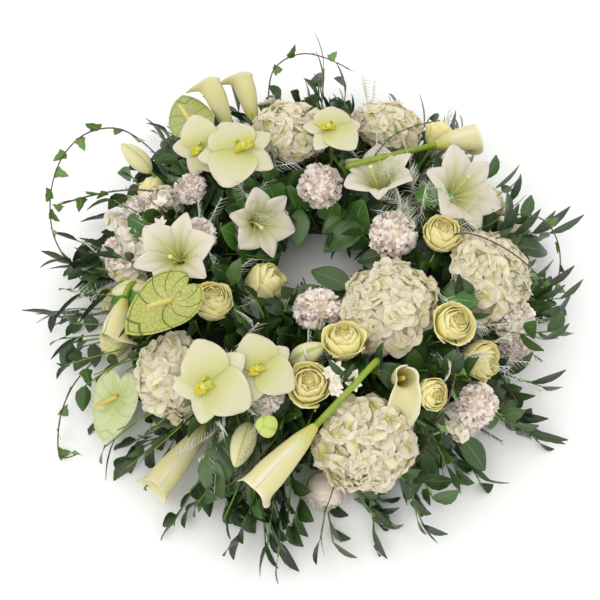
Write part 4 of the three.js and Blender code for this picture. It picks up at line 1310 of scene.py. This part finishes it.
SPRAY_REACH = 0.068
for number in range(1, 10):
    name = f"leaf_spray_{number}"
    stand, points = planted(name)
    inner = number > 6
    length = 0.064 if number == 9 else 0.068 if inner else 0.112
    flare, hug, bow = (0, 40, -8) if inner else (12, 58, 14)
    height = SPRAY_REACH - FOOT
    chance = random.Random(number)
    sheets = []
    for k in range(12):
        heading = 60 * (k // 2) + (k % 2) * 30
        forward = math.cos(math.radians(heading))
        upper = k % 2
        tilt = (flare * forward if forward > 0.3 else 0) + 10 * upper
        bend = bow if forward > 0.3 else bow + hug * forward * forward
        long = length * (0.68 if upper else 0.9 if (k // 2) % 2 else 1.0)
        each = leaf_blade(long, long * 0.27, bend + chance.uniform(0, 8), 0.16, 10, 9, chance.random(), 0.05)
        whorl = shifted(0, 0, height - 0.002 - (k // 2 % 2) * 0.003 + 0.004 * upper)
        place = stand @ whorl @ turned("Z", heading) @ turned("Y", -tilt)
        sheets += clear_of_blooms(laid(place, [each]))
    stalks = [moved(stand, bent_line((0, 0, 0), (0, 0, height), (0.001, 0.001, 0)))]
    arms = () if inner else ((-46, 0.096, -0.016), (0, 0.092, -0.008), (46, 0.096, -0.016))
    for heading, run, climb in arms:
        route, leaves = leafy_branch(stand, height, heading, run, climb, chance)
        stalks.append(route)
        sheets += leaves
    blades = shells(name, sheets, LEAF_THICKNESS, BROAD_LEAF)
    parts = merged(name, blades, stalks_along(stalks, 0.0022))
    piece(f"{name}_leaves", parts, [name])

# The bed between the sprays: single leaves and short leafy tips laid over the whole foam, on a mat of moss so
# dark that it is also painted shade in the gaps between the leaves.
NARROW_LEAF = finish_of(
    "narrow_leaf", LEAF_SKIN, bump=0.4, depth=0.0006, coat=0.1, Light=(58, 86, 42), Dark=(22, 40, 22),
    Vein=(84, 112, 62), Pairs=5.0, Edge=(40, 78, 34), Edge_Width=0.0,
)
# The moss is painted nearly black-green: partly its own colour, partly painted shade that darkens the gaps
# between the leaves.
MOSS_AND_PAINTED_SHADE = finish_of(
    "moss_and_painted_shade", MOTTLE, bump=1.0, depth=0.004, shine=0.95, First=(12, 24, 14), Second=(26, 44, 24), Scale=90.0,
)


def bed_leaf(length, half, bow, lift, seed):
    """A leaf of the bed, which lifts off the foam towards its tip."""
    blade = leaf_blade(length, half, bow, 0.18, 6, 4, seed)
    return shells("bed_leaf", laid(turned("Y", -lift), [blade]), LEAF_THICKNESS)


def plain_mesh(name, points, faces):
    """A mesh whose points all count as the middle of a blade's foot."""
    mesh = bpy.data.meshes.new(name)
    mesh.from_pydata(points, [], faces)
    mesh.attributes.new("blade", "FLOAT_VECTOR", "POINT")
    return mesh


def bed_surface(name, middle, across, up, low, high):
    """A ring-shaped mat over the foam, from its inner foot over the top to its outer foot."""
    points, faces, steps, sides = [], [], 96, 14
    for i in range(steps):
        angle = 2 * math.pi * i / steps
        for k in range(sides):
            turn = math.radians(low + (high - low) * k / (sides - 1))
            bump = 1 + 0.05 * noise.noise(Vector((math.cos(angle) * 4, math.sin(angle) * 4, turn * 2)))
            r = middle + across * math.cos(turn) * bump
            z = CORE_HEIGHT + up * math.sin(turn) * bump
            points.append((r * math.cos(angle), r * math.sin(angle), z))
            if k < sides - 1:
                a, b = i * sides + k, ((i + 1) % steps) * sides + k
                faces.append((a, b, b + 1, a + 1))
    return plain_mesh(name, points, faces)


def bed(name, mat, leaves, slot, **values):
    """A piece of leaves that stand all over a mat of dark moss, whose colour also paints the shade between
    the leaves.
    """
    leaves = gathered(name, leaves)
    mesh = grown(name, OVER_SURFACE, mat, Shapes=leaves, Size=1.0, Surface_Material=MOSS_AND_PAINTED_SHADE, **values)
    piece(name, mesh)


leaves = []
for i in range(6):
    leaves.append(bed_leaf(0.050 + 0.005 * (i % 3), 0.016 + 0.002 * (i % 2), 30 + 12 * (i % 3), 26, i / 7))
mat = bed_surface("bed", CORE_RADIUS, 0.056, 0.040, 200, -20)
bed(
    "bed_of_broad_leaves", mat, leaves, "broad_leaf",
    Spacing=0.017, Tilt=0.35, Seed=4, Shape_Material=BROAD_LEAF,
)
leaves = []
for i in range(6):
    leaves.append(bed_leaf(0.040 + 0.006 * (i % 3), 0.0065 + 0.001 * (i % 2), 20 + 15 * (i % 3), 32, i / 7))
mat = bed_surface("tips", CORE_RADIUS, 0.060, 0.045, 205, -25)
bed(
    "bed_of_narrow_leaves", mat, leaves, "narrow_leaf",
    Spacing=0.014, Tilt=0.6, Seed=9, Shape_Material=NARROW_LEAF,
)


# ---- Trailing sprigs -----------------------------------------------------------------------------
# Long arching sprigs of narrow pointed leaves that set the wreath's outline, one at each side.
ON_STEMS, given = node_group(
    "Geometry", "leaves_on_stems",
    SHAPE | {
        "Leaf": "Object", "From": "Float", "Spacing": "Float", "Angle": "Float", "Droop": "Float",
        "Looseness": "Float", "Size": "Float", "Stem Radius": "Float", "Seed": "Int",
        "Leaf Material": "Material", "Stem Material": "Material",
    },
    SHAPE,
)
loose, seed = given["Looseness"], given["Seed"]
stem_line = node(ON_STEMS, "GeometryNodeSetCurveNormal", {"mode": "Z_UP"}, Curve=given["Geometry"])[0]
leafy = {"mode": "FACTOR"}
leafy = node(ON_STEMS, "GeometryNodeTrimCurve", leafy, Curve=stem_line, _2=given["From"], _3=1.0)[0]
points = node(ON_STEMS, "GeometryNodeCurveToPoints", {"mode": "LENGTH"}, Curve=leafy, Length=given["Spacing"])
heading = node(
    ON_STEMS, "FunctionNodeAxesToRotation", {"primary_axis": "X", "secondary_axis": "Z"},
    Primary_Axis=points["Tangent"], Secondary_Axis=points["Normal"],
)[0]
side = maths("MODULO", node(ON_STEMS, "GeometryNodeInputIndex")[0], 2.0) * 2.0 - 1.0
opened = node(ON_STEMS, "ShaderNodeCombineXYZ", X=0.0, Y=given["Droop"], Z=side * given["Angle"])[0]
tight = loose * -1.0
lowest = node(ON_STEMS, "ShaderNodeCombineXYZ", X=tight, Y=tight, Z=tight)[0]
highest = node(ON_STEMS, "ShaderNodeCombineXYZ", X=loose, Y=loose, Z=loose)[0]
stray = drawn(ON_STEMS, "FLOAT_VECTOR", lowest, highest, seed)
angles = node(ON_STEMS, "ShaderNodeVectorMath", {"operation": "ADD"}, _0=opened, _1=stray)[0]
thickness = node(ON_STEMS, "GeometryNodeInputRadius")[0]
leaf = node(ON_STEMS, "GeometryNodeObjectInfo", Object=given["Leaf"])["Geometry"]
copies = node(
    ON_STEMS, "GeometryNodeInstanceOnPoints", Points=points["Points"], Instance=leaf,
    Rotation=tilted(ON_STEMS, heading, angles),
    Scale=given["Size"] * drawn(ON_STEMS, "FLOAT", 0.78, 1.1, seed) * thickness,
)[0]
stems = tube(ON_STEMS, stem_line, 6, given["Stem Radius"])
skinned(ON_STEMS, copies, seed, given["Leaf Material"], stems, given["Stem Material"])


def leafed(name, routes, leaf, taper=0.7, **values):
    """Leafy stems along the routes. A stem whose tip would be in a bloom ends where it enters it, and
    no leaf is left where it would stand in one."""
    kept = []
    for route in routes:
        inside = in_bloom(route, 0.9)
        route = route[: np.argmax(inside)] if inside[-1] else route
        if len(route) > 3:
            kept.append(route)
    mesh = grown(name, ON_STEMS, paths(name, kept, taper), Leaf=leaf, **values)
    points, tints = np.empty(len(mesh.vertices) * 3), np.empty(len(mesh.vertices))
    mesh.vertices.foreach_get("co", points)
    mesh.attributes["tint"].data.foreach_get("value", tints)
    leaves = np.flatnonzero(tints > 0).reshape(-1, len(leaf.data.vertices))
    touching = in_bloom(points.reshape(-1, 3)[leaves.ravel()]).reshape(leaves.shape).any(1)
    work = bmesh.new()
    work.from_mesh(mesh)
    work.verts.ensure_lookup_table()
    bmesh.ops.delete(work, geom=[work.verts[i] for i in leaves[touching].ravel()], context="VERTS")
    work.to_mesh(mesh)
    work.free()
    return mesh


ruscus_leaf = leaf_blade(0.062, 0.0105, 24, 0.14, 7, 5, 0.3)
ruscus_leaf = template("ruscus_leaf", shells("ruscus_leaf", [ruscus_leaf], 0.0008))
BARK = finish_of(
    "vine_bark", MOTTLE, bump=0.6, depth=0.0006, shine=0.8, First=(74, 58, 48), Second=(112, 92, 78),
    Scale=120.0,
)


def arching(tip, straight=0.044, rise=0.45, steps=9):
    """A stem from the foot up along +Z and then over to its tip, in the stem's own frame."""
    start, tip = np.array([0, 0, straight]), np.array(tip)
    rising = np.array([0, 0, straight + rise * np.linalg.norm(tip - start)])
    shares = np.linspace(0, 1, steps)[:, None]
    bend = (1 - shares) ** 2 * start + 2 * shares * (1 - shares) * rising + shares**2 * tip
    return np.concatenate([[[0, 0, 0], [0, 0, straight / 2]], bend])


for number in range(1, 5):
    name = f"ruscus_sprig_{number}"
    stand, points = planted(name)
    tip = points[np.argmax(np.linalg.norm(points, axis=1))]
    mesh = leafed(
        name, [moved(stand, arching(tip * 0.86))], ruscus_leaf, 0.75, From=0.26, Spacing=0.0155, Angle=0.85,
        Droop=0.05, Looseness=0.28, Size=1.3, Stem_Radius=0.0019, Seed=number, Leaf_Material=NARROW_LEAF,
        Stem_Material=GREEN_STALK,
    )
    piece(f"{name}_leaves", mesh, [name])


# ---- Arching vine --------------------------------------------------------------------------------
# A thin woody vine that arches out over the left side, with small three-lobed leaves.
def ivy_blade(size, seed):
    """A lobed ivy leaf along +X."""

    def shape(u, v):
        width = np.array([0.10, 0.42, 0.56, 0.26, 0.30, 0.14, 0.01])
        width = np.interp(v, [0, 0.12, 0.28, 0.42, 0.56, 0.8, 1], width) * size
        back = np.where(v < 0.3, -0.10 * size * np.abs(u) ** 2, 0.0)
        return v * size + back, u * width, 0.10 * width * np.abs(u) - 0.12 * size * v**2

    return petal(shape, 8, 5, seed)


IVY_LEAF = finish_of(
    "ivy_leaf", LEAF_SKIN, bump=0.3, depth=0.0005, Light=(112, 150, 72), Dark=(58, 96, 44),
    Vein=(160, 184, 118), Pairs=3.0, Edge=(206, 216, 172), Edge_Width=0.08,
)
ivy_leaf = template("ivy_leaf", shells("ivy_leaf", [ivy_blade(0.026, 0.4)], 0.0006))
stand, points = planted("vine_arch_1")
tip = points[np.argmax(np.linalg.norm(points, axis=1))]
mesh = leafed(
    "vine_arch_1", [moved(stand, arching(tip * 0.94))], ivy_leaf, 0.8, From=0.3, Spacing=0.017, Angle=1.0,
    Droop=0.4, Looseness=0.6, Size=1.0, Stem_Radius=0.0016, Seed=3, Leaf_Material=IVY_LEAF,
    Stem_Material=BARK,
)
piece("vine_arch_1_leaves", mesh, ["vine_arch_1"])


# Thin bare-looking vines that loop over and round the wreath, with an ivy leaf here and there.
def round_ring(*places):
    """A route through places given by angle round the ring, distance from its middle, and height."""
    places = [(math.radians(at), r, z) for at, r, z in places]
    return np.array([(r * math.cos(at), r * math.sin(at), z) for at, r, z in places])


loops = [
    round_ring(
        (104, 0.28, 0.09), (103, 0.335, 0.15), (96, 0.35, 0.178), (88, 0.345, 0.185), (80, 0.335, 0.165),
        (74, 0.29, 0.10),
    ),
    round_ring((64, 0.17, 0.12), (60, 0.20, 0.175), (54, 0.235, 0.198), (48, 0.285, 0.185), (42, 0.31, 0.13)),
    round_ring(
        (10, 0.17, 0.12), (6, 0.20, 0.185), (0, 0.24, 0.196), (-4, 0.285, 0.180), (-5, 0.335, 0.12),
        (-3, 0.35, 0.07),
    ),
    round_ring(
        (-28, 0.21, 0.13), (-36, 0.24, 0.165), (-44, 0.262, 0.165), (-52, 0.285, 0.14), (-60, 0.30, 0.09),
    ),
    round_ring(
        (142, 0.27, 0.11), (143, 0.325, 0.185), (150, 0.375, 0.20), (158, 0.402, 0.175), (166, 0.405, 0.13),
        (174, 0.385, 0.09), (180, 0.34, 0.06),
    ),
    round_ring(
        (-162, 0.30, 0.06), (-158, 0.36, 0.05), (-153, 0.405, 0.028), (-148, 0.43, 0.012),
        (-144, 0.44, 0.012), (-143, 0.415, 0.022),
    ),
    round_ring((-100, 0.25, 0.10), (-106, 0.31, 0.10), (-112, 0.34, 0.06), (-116, 0.35, 0.03)),
    round_ring((20, 0.28, 0.10), (16, 0.345, 0.12), (10, 0.375, 0.10), (2, 0.378, 0.06), (-4, 0.36, 0.03)),
]
mesh = leafed(
    "loops", loops, ivy_leaf, 0.7, From=0.12, Spacing=0.030, Angle=1.0, Droop=0.35, Looseness=0.7, Size=1.0,
    Stem_Radius=0.0013, Seed=6, Leaf_Material=IVY_LEAF, Stem_Material=BARK,
)
piece("looping_vines", mesh)


# ---- Small white flowers -------------------------------------------------------------------------
# Stars of six narrow petals in loose heads, and short spikes of stock, all white, that fill in
# between the large blooms.
def star(size, seed):
    """A small flower that opens along +Z: six narrow petals round a bead."""
    chance = random.Random(seed)
    sheets = []
    for k in range(6):
        leaf = pointed_leaf(size, size * 0.30, -0.2, 0.2, 5, 4, chance.random())
        sheets += laid(turned("Z", 60 * k + chance.uniform(-6, 6)) @ turned("Y", -18), [leaf])
    return merged("star", shells("star", sheets, 0.0006), bead("eye", size * 0.16, (0, 0, size * 0.1)))


SMALL_WHITE = finish_of(
    "small_white_petal", TISSUE, bump=0.2, depth=0.0003, glow=0.2, Heart=(226, 226, 156),
    Body=(250, 240, 228), Edge=(252, 243, 234), Heart_Reach=0.25, Edge_Width=0.3, Veins=0.2, Vein_Count=5.0,
)
stars, chance = [], random.Random(21)
for at, lean, reach, count in (
    (-78, 6, 0.126, 6), (158, 34, 0.122, 5), (172, 28, 0.120, 5), (-30, -8, 0.116, 3), (56, 62, 0.150, 4),
    (100, 58, 0.150, 4),
):
    for k in range(count):
        stand = standing(at + chance.uniform(-5, 5), lean + chance.uniform(-9, 9), chance.uniform(0, 360))
        face = star(0.0125 * chance.uniform(0.9, 1.15), k + at)
        face.transform(Matrix(stand @ shifted(0, 0, reach - FOOT) @ turned("Y", chance.uniform(-25, 25))))
        face.materials.append(SMALL_WHITE)
        stars += [face, stem(stand, reach - 0.013, 0.0010)]
piece("white_stars", merged("white_stars", *stars))

spikes = []
for number, (at, lean, reach) in enumerate((
    (157, 62, 0.140), (163, 66, 0.150), (169, 50, 0.128), (175, 44, 0.118), (-178, 52, 0.126),
    (152, 40, 0.120), (58, 58, 0.148), (16, 78, 0.150), (-14, 96, 0.140), (-74, -58, 0.092),
    (-50, 72, 0.140), (112, 8, 0.112),
)):
    stand = standing(at, lean, number * 40)
    ball = icosphere(2)
    for vertex in ball.verts:
        vertex.co = (vertex.co.x * 0.0125, vertex.co.y * 0.0125, vertex.co.z * 0.024)
    spike = grown(
        "spike", OVER_SURFACE, mesh_of(ball, "spike"), Shapes=florets, Spacing=0.0085, Size=0.82, Tilt=0.5,
        Seed=number, Shape_Material=SMALL_WHITE, Surface_Material=HYDRANGEA_HEART,
    )
    spike.transform(Matrix(stand @ shifted(0, 0, reach - 0.03)))
    bloom_at(stand, reach - 0.03, 0.02)
    spikes += [spike, stem(stand, reach - 0.04, 0.0018)]
piece("stock_spikes", merged("stock_spikes", *spikes))


# ---- Large fresh leaves --------------------------------------------------------------------------
# Single rounded leaves of a lighter green, pushed in on their stalks beside the blooms.
FRESH_LEAF = finish_of(
    "fresh_leaf", LEAF_SKIN, bump=0.4, depth=0.0007, coat=0.12, Light=(84, 132, 50), Dark=(48, 86, 34),
    Vein=(128, 166, 88), Pairs=6.0, Edge=(60, 100, 40), Edge_Width=0.0,
)
sheets, stalks, chance = [], [], random.Random(33)
for at, lean, reach, tip in (
    (-36, 86, 0.150, 60), (-28, 92, 0.140, 40), (-46, 90, 0.140, 70), (128, -30, 0.100, 50),
    (116, -44, 0.104, 60), (100, -58, 0.100, 70), (74, -62, 0.104, 60), (150, -50, 0.100, 60),
    (60, 30, 0.128, 50), (34, 2, 0.122, 60), (-166, 40, 0.130, 70), (26, 40, 0.120, 40),
    (168, 30, 0.120, 50), (-20, 4, 0.118, 50), (-68, -14, 0.100, 60), (-150, -48, 0.104, 60),
    (-100, -66, 0.128, 60), (-74, -68, 0.130, 60), (-114, -60, 0.122, 55), (-58, -64, 0.122, 55),
    (50, -60, 0.104, 60), (170, -62, 0.104, 60), (-178, -70, 0.098, 60), (20, -66, 0.100, 60),
    (-130, -62, 0.098, 60), (-100, -66, 0.096, 60),
):
    stand = standing(at, lean, chance.uniform(-50, 50))
    stand = stand @ shifted(0, 0, reach - 0.03)
    length = 0.062 * chance.uniform(0.85, 1.15)
    blade = leaf_blade(length, length * 0.40, 30, 0.14, 9, 9, chance.random(), 0.05)
    sheets += laid(stand @ turned("Y", tip - 90), [blade])
    stalks.append(moved(stand, [(0, 0, -0.06), (0.002, 0, -0.03), (0.001, 0, -0.01), (0, 0, 0)]))
blades = shells("fresh", sheets, LEAF_THICKNESS, FRESH_LEAF)
mesh = merged("large_fresh_leaves", blades, stalks_along(stalks, 0.0014, 6))
piece("large_fresh_leaves", mesh)

# Dark leaves that reach out over the opening: the angle of each root round the ring, and where its
# blade starts and ends.
sheets, stalks, chance = [], [], random.Random(35)
for at, base, tip in (
    (-38, (0.054, -0.030, 0.108), (-0.002, 0.004, 0.112)),
    (-104, (-0.032, -0.050, 0.102), (0.016, -0.026, 0.112)),
    (44, (0.080, 0.084, 0.106), (0.014, 0.045, 0.092)), (60, (0.062, 0.108, 0.106), (0.012, 0.075, 0.094)),
    (14, (0.114, 0.028, 0.106), (0.064, 0.026, 0.094)),
    (100, (-0.018, 0.106, 0.104), (-0.022, 0.050, 0.092)),
    (162, (-0.082, 0.024, 0.104), (-0.044, 0.038, 0.094)),
    (-66, (0.034, -0.062, 0.104), (0.044, -0.012, 0.100)),
):
    base, along = np.array(base), np.subtract(tip, base)
    length = np.linalg.norm(along)
    along = along / length
    across = np.cross((0, 0, 1), along)
    across = across / np.linalg.norm(across)
    blade = leaf_blade(length, 0.29 * length, 24, 0.16, 9, 9, chance.random(), 0.05)
    sheets += laid(framed(base, along, across, np.cross(along, across)), [blade])
    foot = moved(standing(at, -40), [0, 0, 0])
    stalks.append(bent_line(foot, base, (0, 0, 0.012)))
blades = shells("overhanging", sheets, LEAF_THICKNESS, BROAD_LEAF)
mesh = merged("overhanging_leaves", blades, stalks_along(stalks, 0.0015, 6))
piece("overhanging_leaves", mesh)


# ---- Filling greens ------------------------------------------------------------------------------
# Short sprigs of broad leaves and of narrow leaves, pushed in between the flowers and low all round
# the outside, where they hang over the tray's wall.
def fountain(count, seed, low, high, longest, shortest, start=0.0, span=360.0):
    """Routes of stems that stand all round the ring. low and high limit their lean, and the more a
    stem leans outwards, the longer it is, from shortest to longest."""
    chance = random.Random(seed)
    routes = []
    for i in range(count):
        lean = chance.uniform(low, high)
        reach = shortest + (longest - shortest) * max(0.0, lean / 90) ** 1.2
        reach *= chance.uniform(0.88, 1.08)
        bend = math.radians(chance.uniform(-12, 34))
        stand = standing(start + span * i / count + chance.uniform(-9, 9), lean, chance.uniform(-50, 50))
        tip = (reach * math.sin(bend), 0, 0.02 + reach * math.cos(bend))
        route = moved(stand, arching(tip, 0.02, 0.5, 6))
        route[:, 2] = np.maximum(route[:, 2], LOW)
        routes.append(route)
    return routes


fill_leaf = leaf_blade(0.052, 0.0165, 34, 0.2, 7, 5, 0.3, 0.05)
fill_leaf = template("fill_leaf", shells("fill_leaf", [fill_leaf], LEAF_THICKNESS))
for part, (count, low, high, longest, shortest) in enumerate(
    ((54, 58, 90, 0.160, 0.074), (58, -8, 54, 0.160, 0.084), (38, -78, -20, 0.1, 0.082)), 1
):
    mesh = leafed(
        f"broad_fill_{part}", fountain(count, part, low, high, longest, shortest), fill_leaf, From=0.3,
        Spacing=0.0135, Angle=0.95, Droop=0.1, Looseness=0.5, Size=1.1, Stem_Radius=0.0018, Seed=part,
        Leaf_Material=BROAD_LEAF, Stem_Material=GREEN_STALK,
    )
    piece(f"filling_broad_leaves_{part}", mesh)

for part, (count, low, high, longest, shortest, spacing, size) in enumerate(
    ((48, 60, 92, 0.180, 0.085, 0.0165, 1.2), (48, -5, 60, 0.178, 0.098, 0.0125, 0.9)), 1
):
    mesh = leafed(
        f"narrow_fill_{part}", fountain(count, part + 10, low, high, longest, shortest, 4), ruscus_leaf,
        From=0.3, Spacing=spacing, Angle=0.8, Droop=0.05, Looseness=0.4, Size=size, Stem_Radius=0.0015,
        Seed=part, Leaf_Material=NARROW_LEAF, Stem_Material=GREEN_STALK,
    )
    piece(f"filling_narrow_leaves_{part}", mesh)

routes = fountain(18, 40, 66, 94, 0.17, 0.09, -176, 90)
routes += fountain(16, 41, -76, -40, 0.13, 0.122, -128, 96)
mesh = leafed(
    "dark_fill", routes, fill_leaf, From=0.3, Spacing=0.012, Angle=0.9, Droop=0.1, Looseness=0.55,
    Size=1.0, Stem_Radius=0.0016, Seed=12, Leaf_Material=NARROW_LEAF, Stem_Material=GREEN_STALK,
)
piece("filling_dark_leaves", mesh)


# ---- Silvery fern combs --------------------------------------------------------------------------
# Bleached fern fronds: a thin curved rib with comb-like teeth on both sides, grey-white all over.
def tooth(length, thick, hook):
    """A thin tapering tooth along +X that hooks towards +Y."""
    rings = np.linspace(0, 1, 5)
    points, faces = [], []
    for t in rings:
        for k in range(3):
            angle, r = 2 * math.pi * k / 3, thick * (1 - 0.8 * t)
            y = hook * length * t**2 + r * math.cos(angle)
            points.append((t * length, y, r * math.sin(angle) + 0.15 * length * t**2))
    for i in range(len(rings) - 1):
        for k in range(3):
            a, b = 3 * i + k, 3 * i + (k + 1) % 3
            faces.append((a, b, b + 3, a + 3))
    faces += [(2, 1, 0), (12, 13, 14)]
    return plain_mesh("tooth", points, faces)


SILVER_FERN = finish_of(
    "silver_fern", MOTTLE, bump=0.3, depth=0.0003, shine=0.7, First=(238, 240, 226), Second=(206, 212, 190),
    Scale=90.0,
)
fern_tooth = template("fern_tooth", tooth(0.019, 0.0010, 0.34))
combs = []
chance = random.Random(5)
for at, lean, reach, turn in (
    (131, -22, 118, 40), (140, -30, 108, -30), (121, 2, 122, 70), (97, 12, 118, 20), (58, 0, 128, -60),
    (50, 4, 122, 30), (40, 18, 134, 60), (34, -2, 118, -30), (22, -8, 112, 10), (16, 20, 128, 50),
    (165, -8, 112, 60), (-170, -34, 108, -20), (-150, -34, 106, 30), (-128, 2, 108, -50),
    (-105, 38, 118, 20), (-92, -20, 110, -40), (-60, -26, 112, 60), (-8, 62, 140, 30), (-28, 66, 148, -20),
    (-38, 40, 130, 40), (70, 62, 150, 10), (48, 78, 165, 0), (-172, 80, 170, 10), (-178, 58, 150, 40),
    (-118, 66, 140, 10), (-25, 34, 128, 10),
):
    stand = standing(at, lean, turn)
    for fan in (-0.42, -0.1, 0.3):
        bend = fan + chance.uniform(-0.1, 0.1)
        tip = np.array([math.sin(bend), chance.uniform(-0.3, 0.3), math.cos(bend)])
        tip = tip * (reach + 14) * 0.001 * chance.uniform(0.95, 1.12)
        route = moved(stand, arching(tip, 0.02, 0.55, 8))
        route[:, 2] = np.maximum(route[:, 2], 0.02)
        combs.append(route)
mesh = grown(
    "fern_combs", ON_STEMS, paths("combs", combs, 0.6), Leaf=fern_tooth, From=0.40, Spacing=0.0031,
    Angle=1.2, Droop=-0.15, Looseness=0.14, Size=1.25, Stem_Radius=0.0010, Seed=7,
    Leaf_Material=SILVER_FERN, Stem_Material=SILVER_FERN,
)
piece("silver_fern_combs", mesh)


# ---- Needle-leaved tips --------------------------------------------------------------------------
# Dark evergreen tips with short stiff needles on both sides of a woody stem.
NEEDLE_GREEN = finish_of(
    "needle_green", MOTTLE, bump=0.3, depth=0.0003, shine=0.5, First=(24, 46, 30), Second=(44, 70, 44),
    Scale=90.0,
)
needle = template("needle", tooth(0.014, 0.0009, 0.1))
tips = []
for at, lean, reach, turn in (
    (-30, 70, 178, 10), (-36, 80, 176, -20), (-22, 82, 186, 0), (-66, 76, 150, 0), (-80, 80, 156, 20),
    (-56, 72, 150, -20), (-150, 70, 130, 20), (-140, 60, 120, -10), (-104, 60, 124, 10), (20, 72, 168, 0),
    (52, 66, 150, 0), (112, 60, 140, 0), (150, 70, 150, 10), (-12, 84, 180, 10), (96, 74, 150, 0),
    (70, 78, 150, 0), (178, 70, 140, 0), (-45, 88, 168, 0), (-125, 78, 130, 0),
):
    stand = standing(at, lean, turn)
    for fan in (-22, 12, 38):
        bend = math.radians(fan + chance.uniform(-8, 8))
        tip = np.array([math.sin(bend) * 0.4, math.sin(bend), math.cos(bend)])
        tip = tip * reach * 0.001 * chance.uniform(0.8, 1.0)
        route = moved(stand, arching(tip, 0.03, 0.4, 7))
        route[:, 2] = np.maximum(route[:, 2], LOW)
        tips.append(route)
mesh = leafed(
    "needle_tips", tips, needle, 0.6, From=0.4, Spacing=0.0019, Angle=0.95, Droop=0.0, Looseness=0.2,
    Size=1.15, Stem_Radius=0.0011, Seed=8, Leaf_Material=NEEDLE_GREEN, Stem_Material=BARK,
)
piece("needle_leaved_tips", mesh)
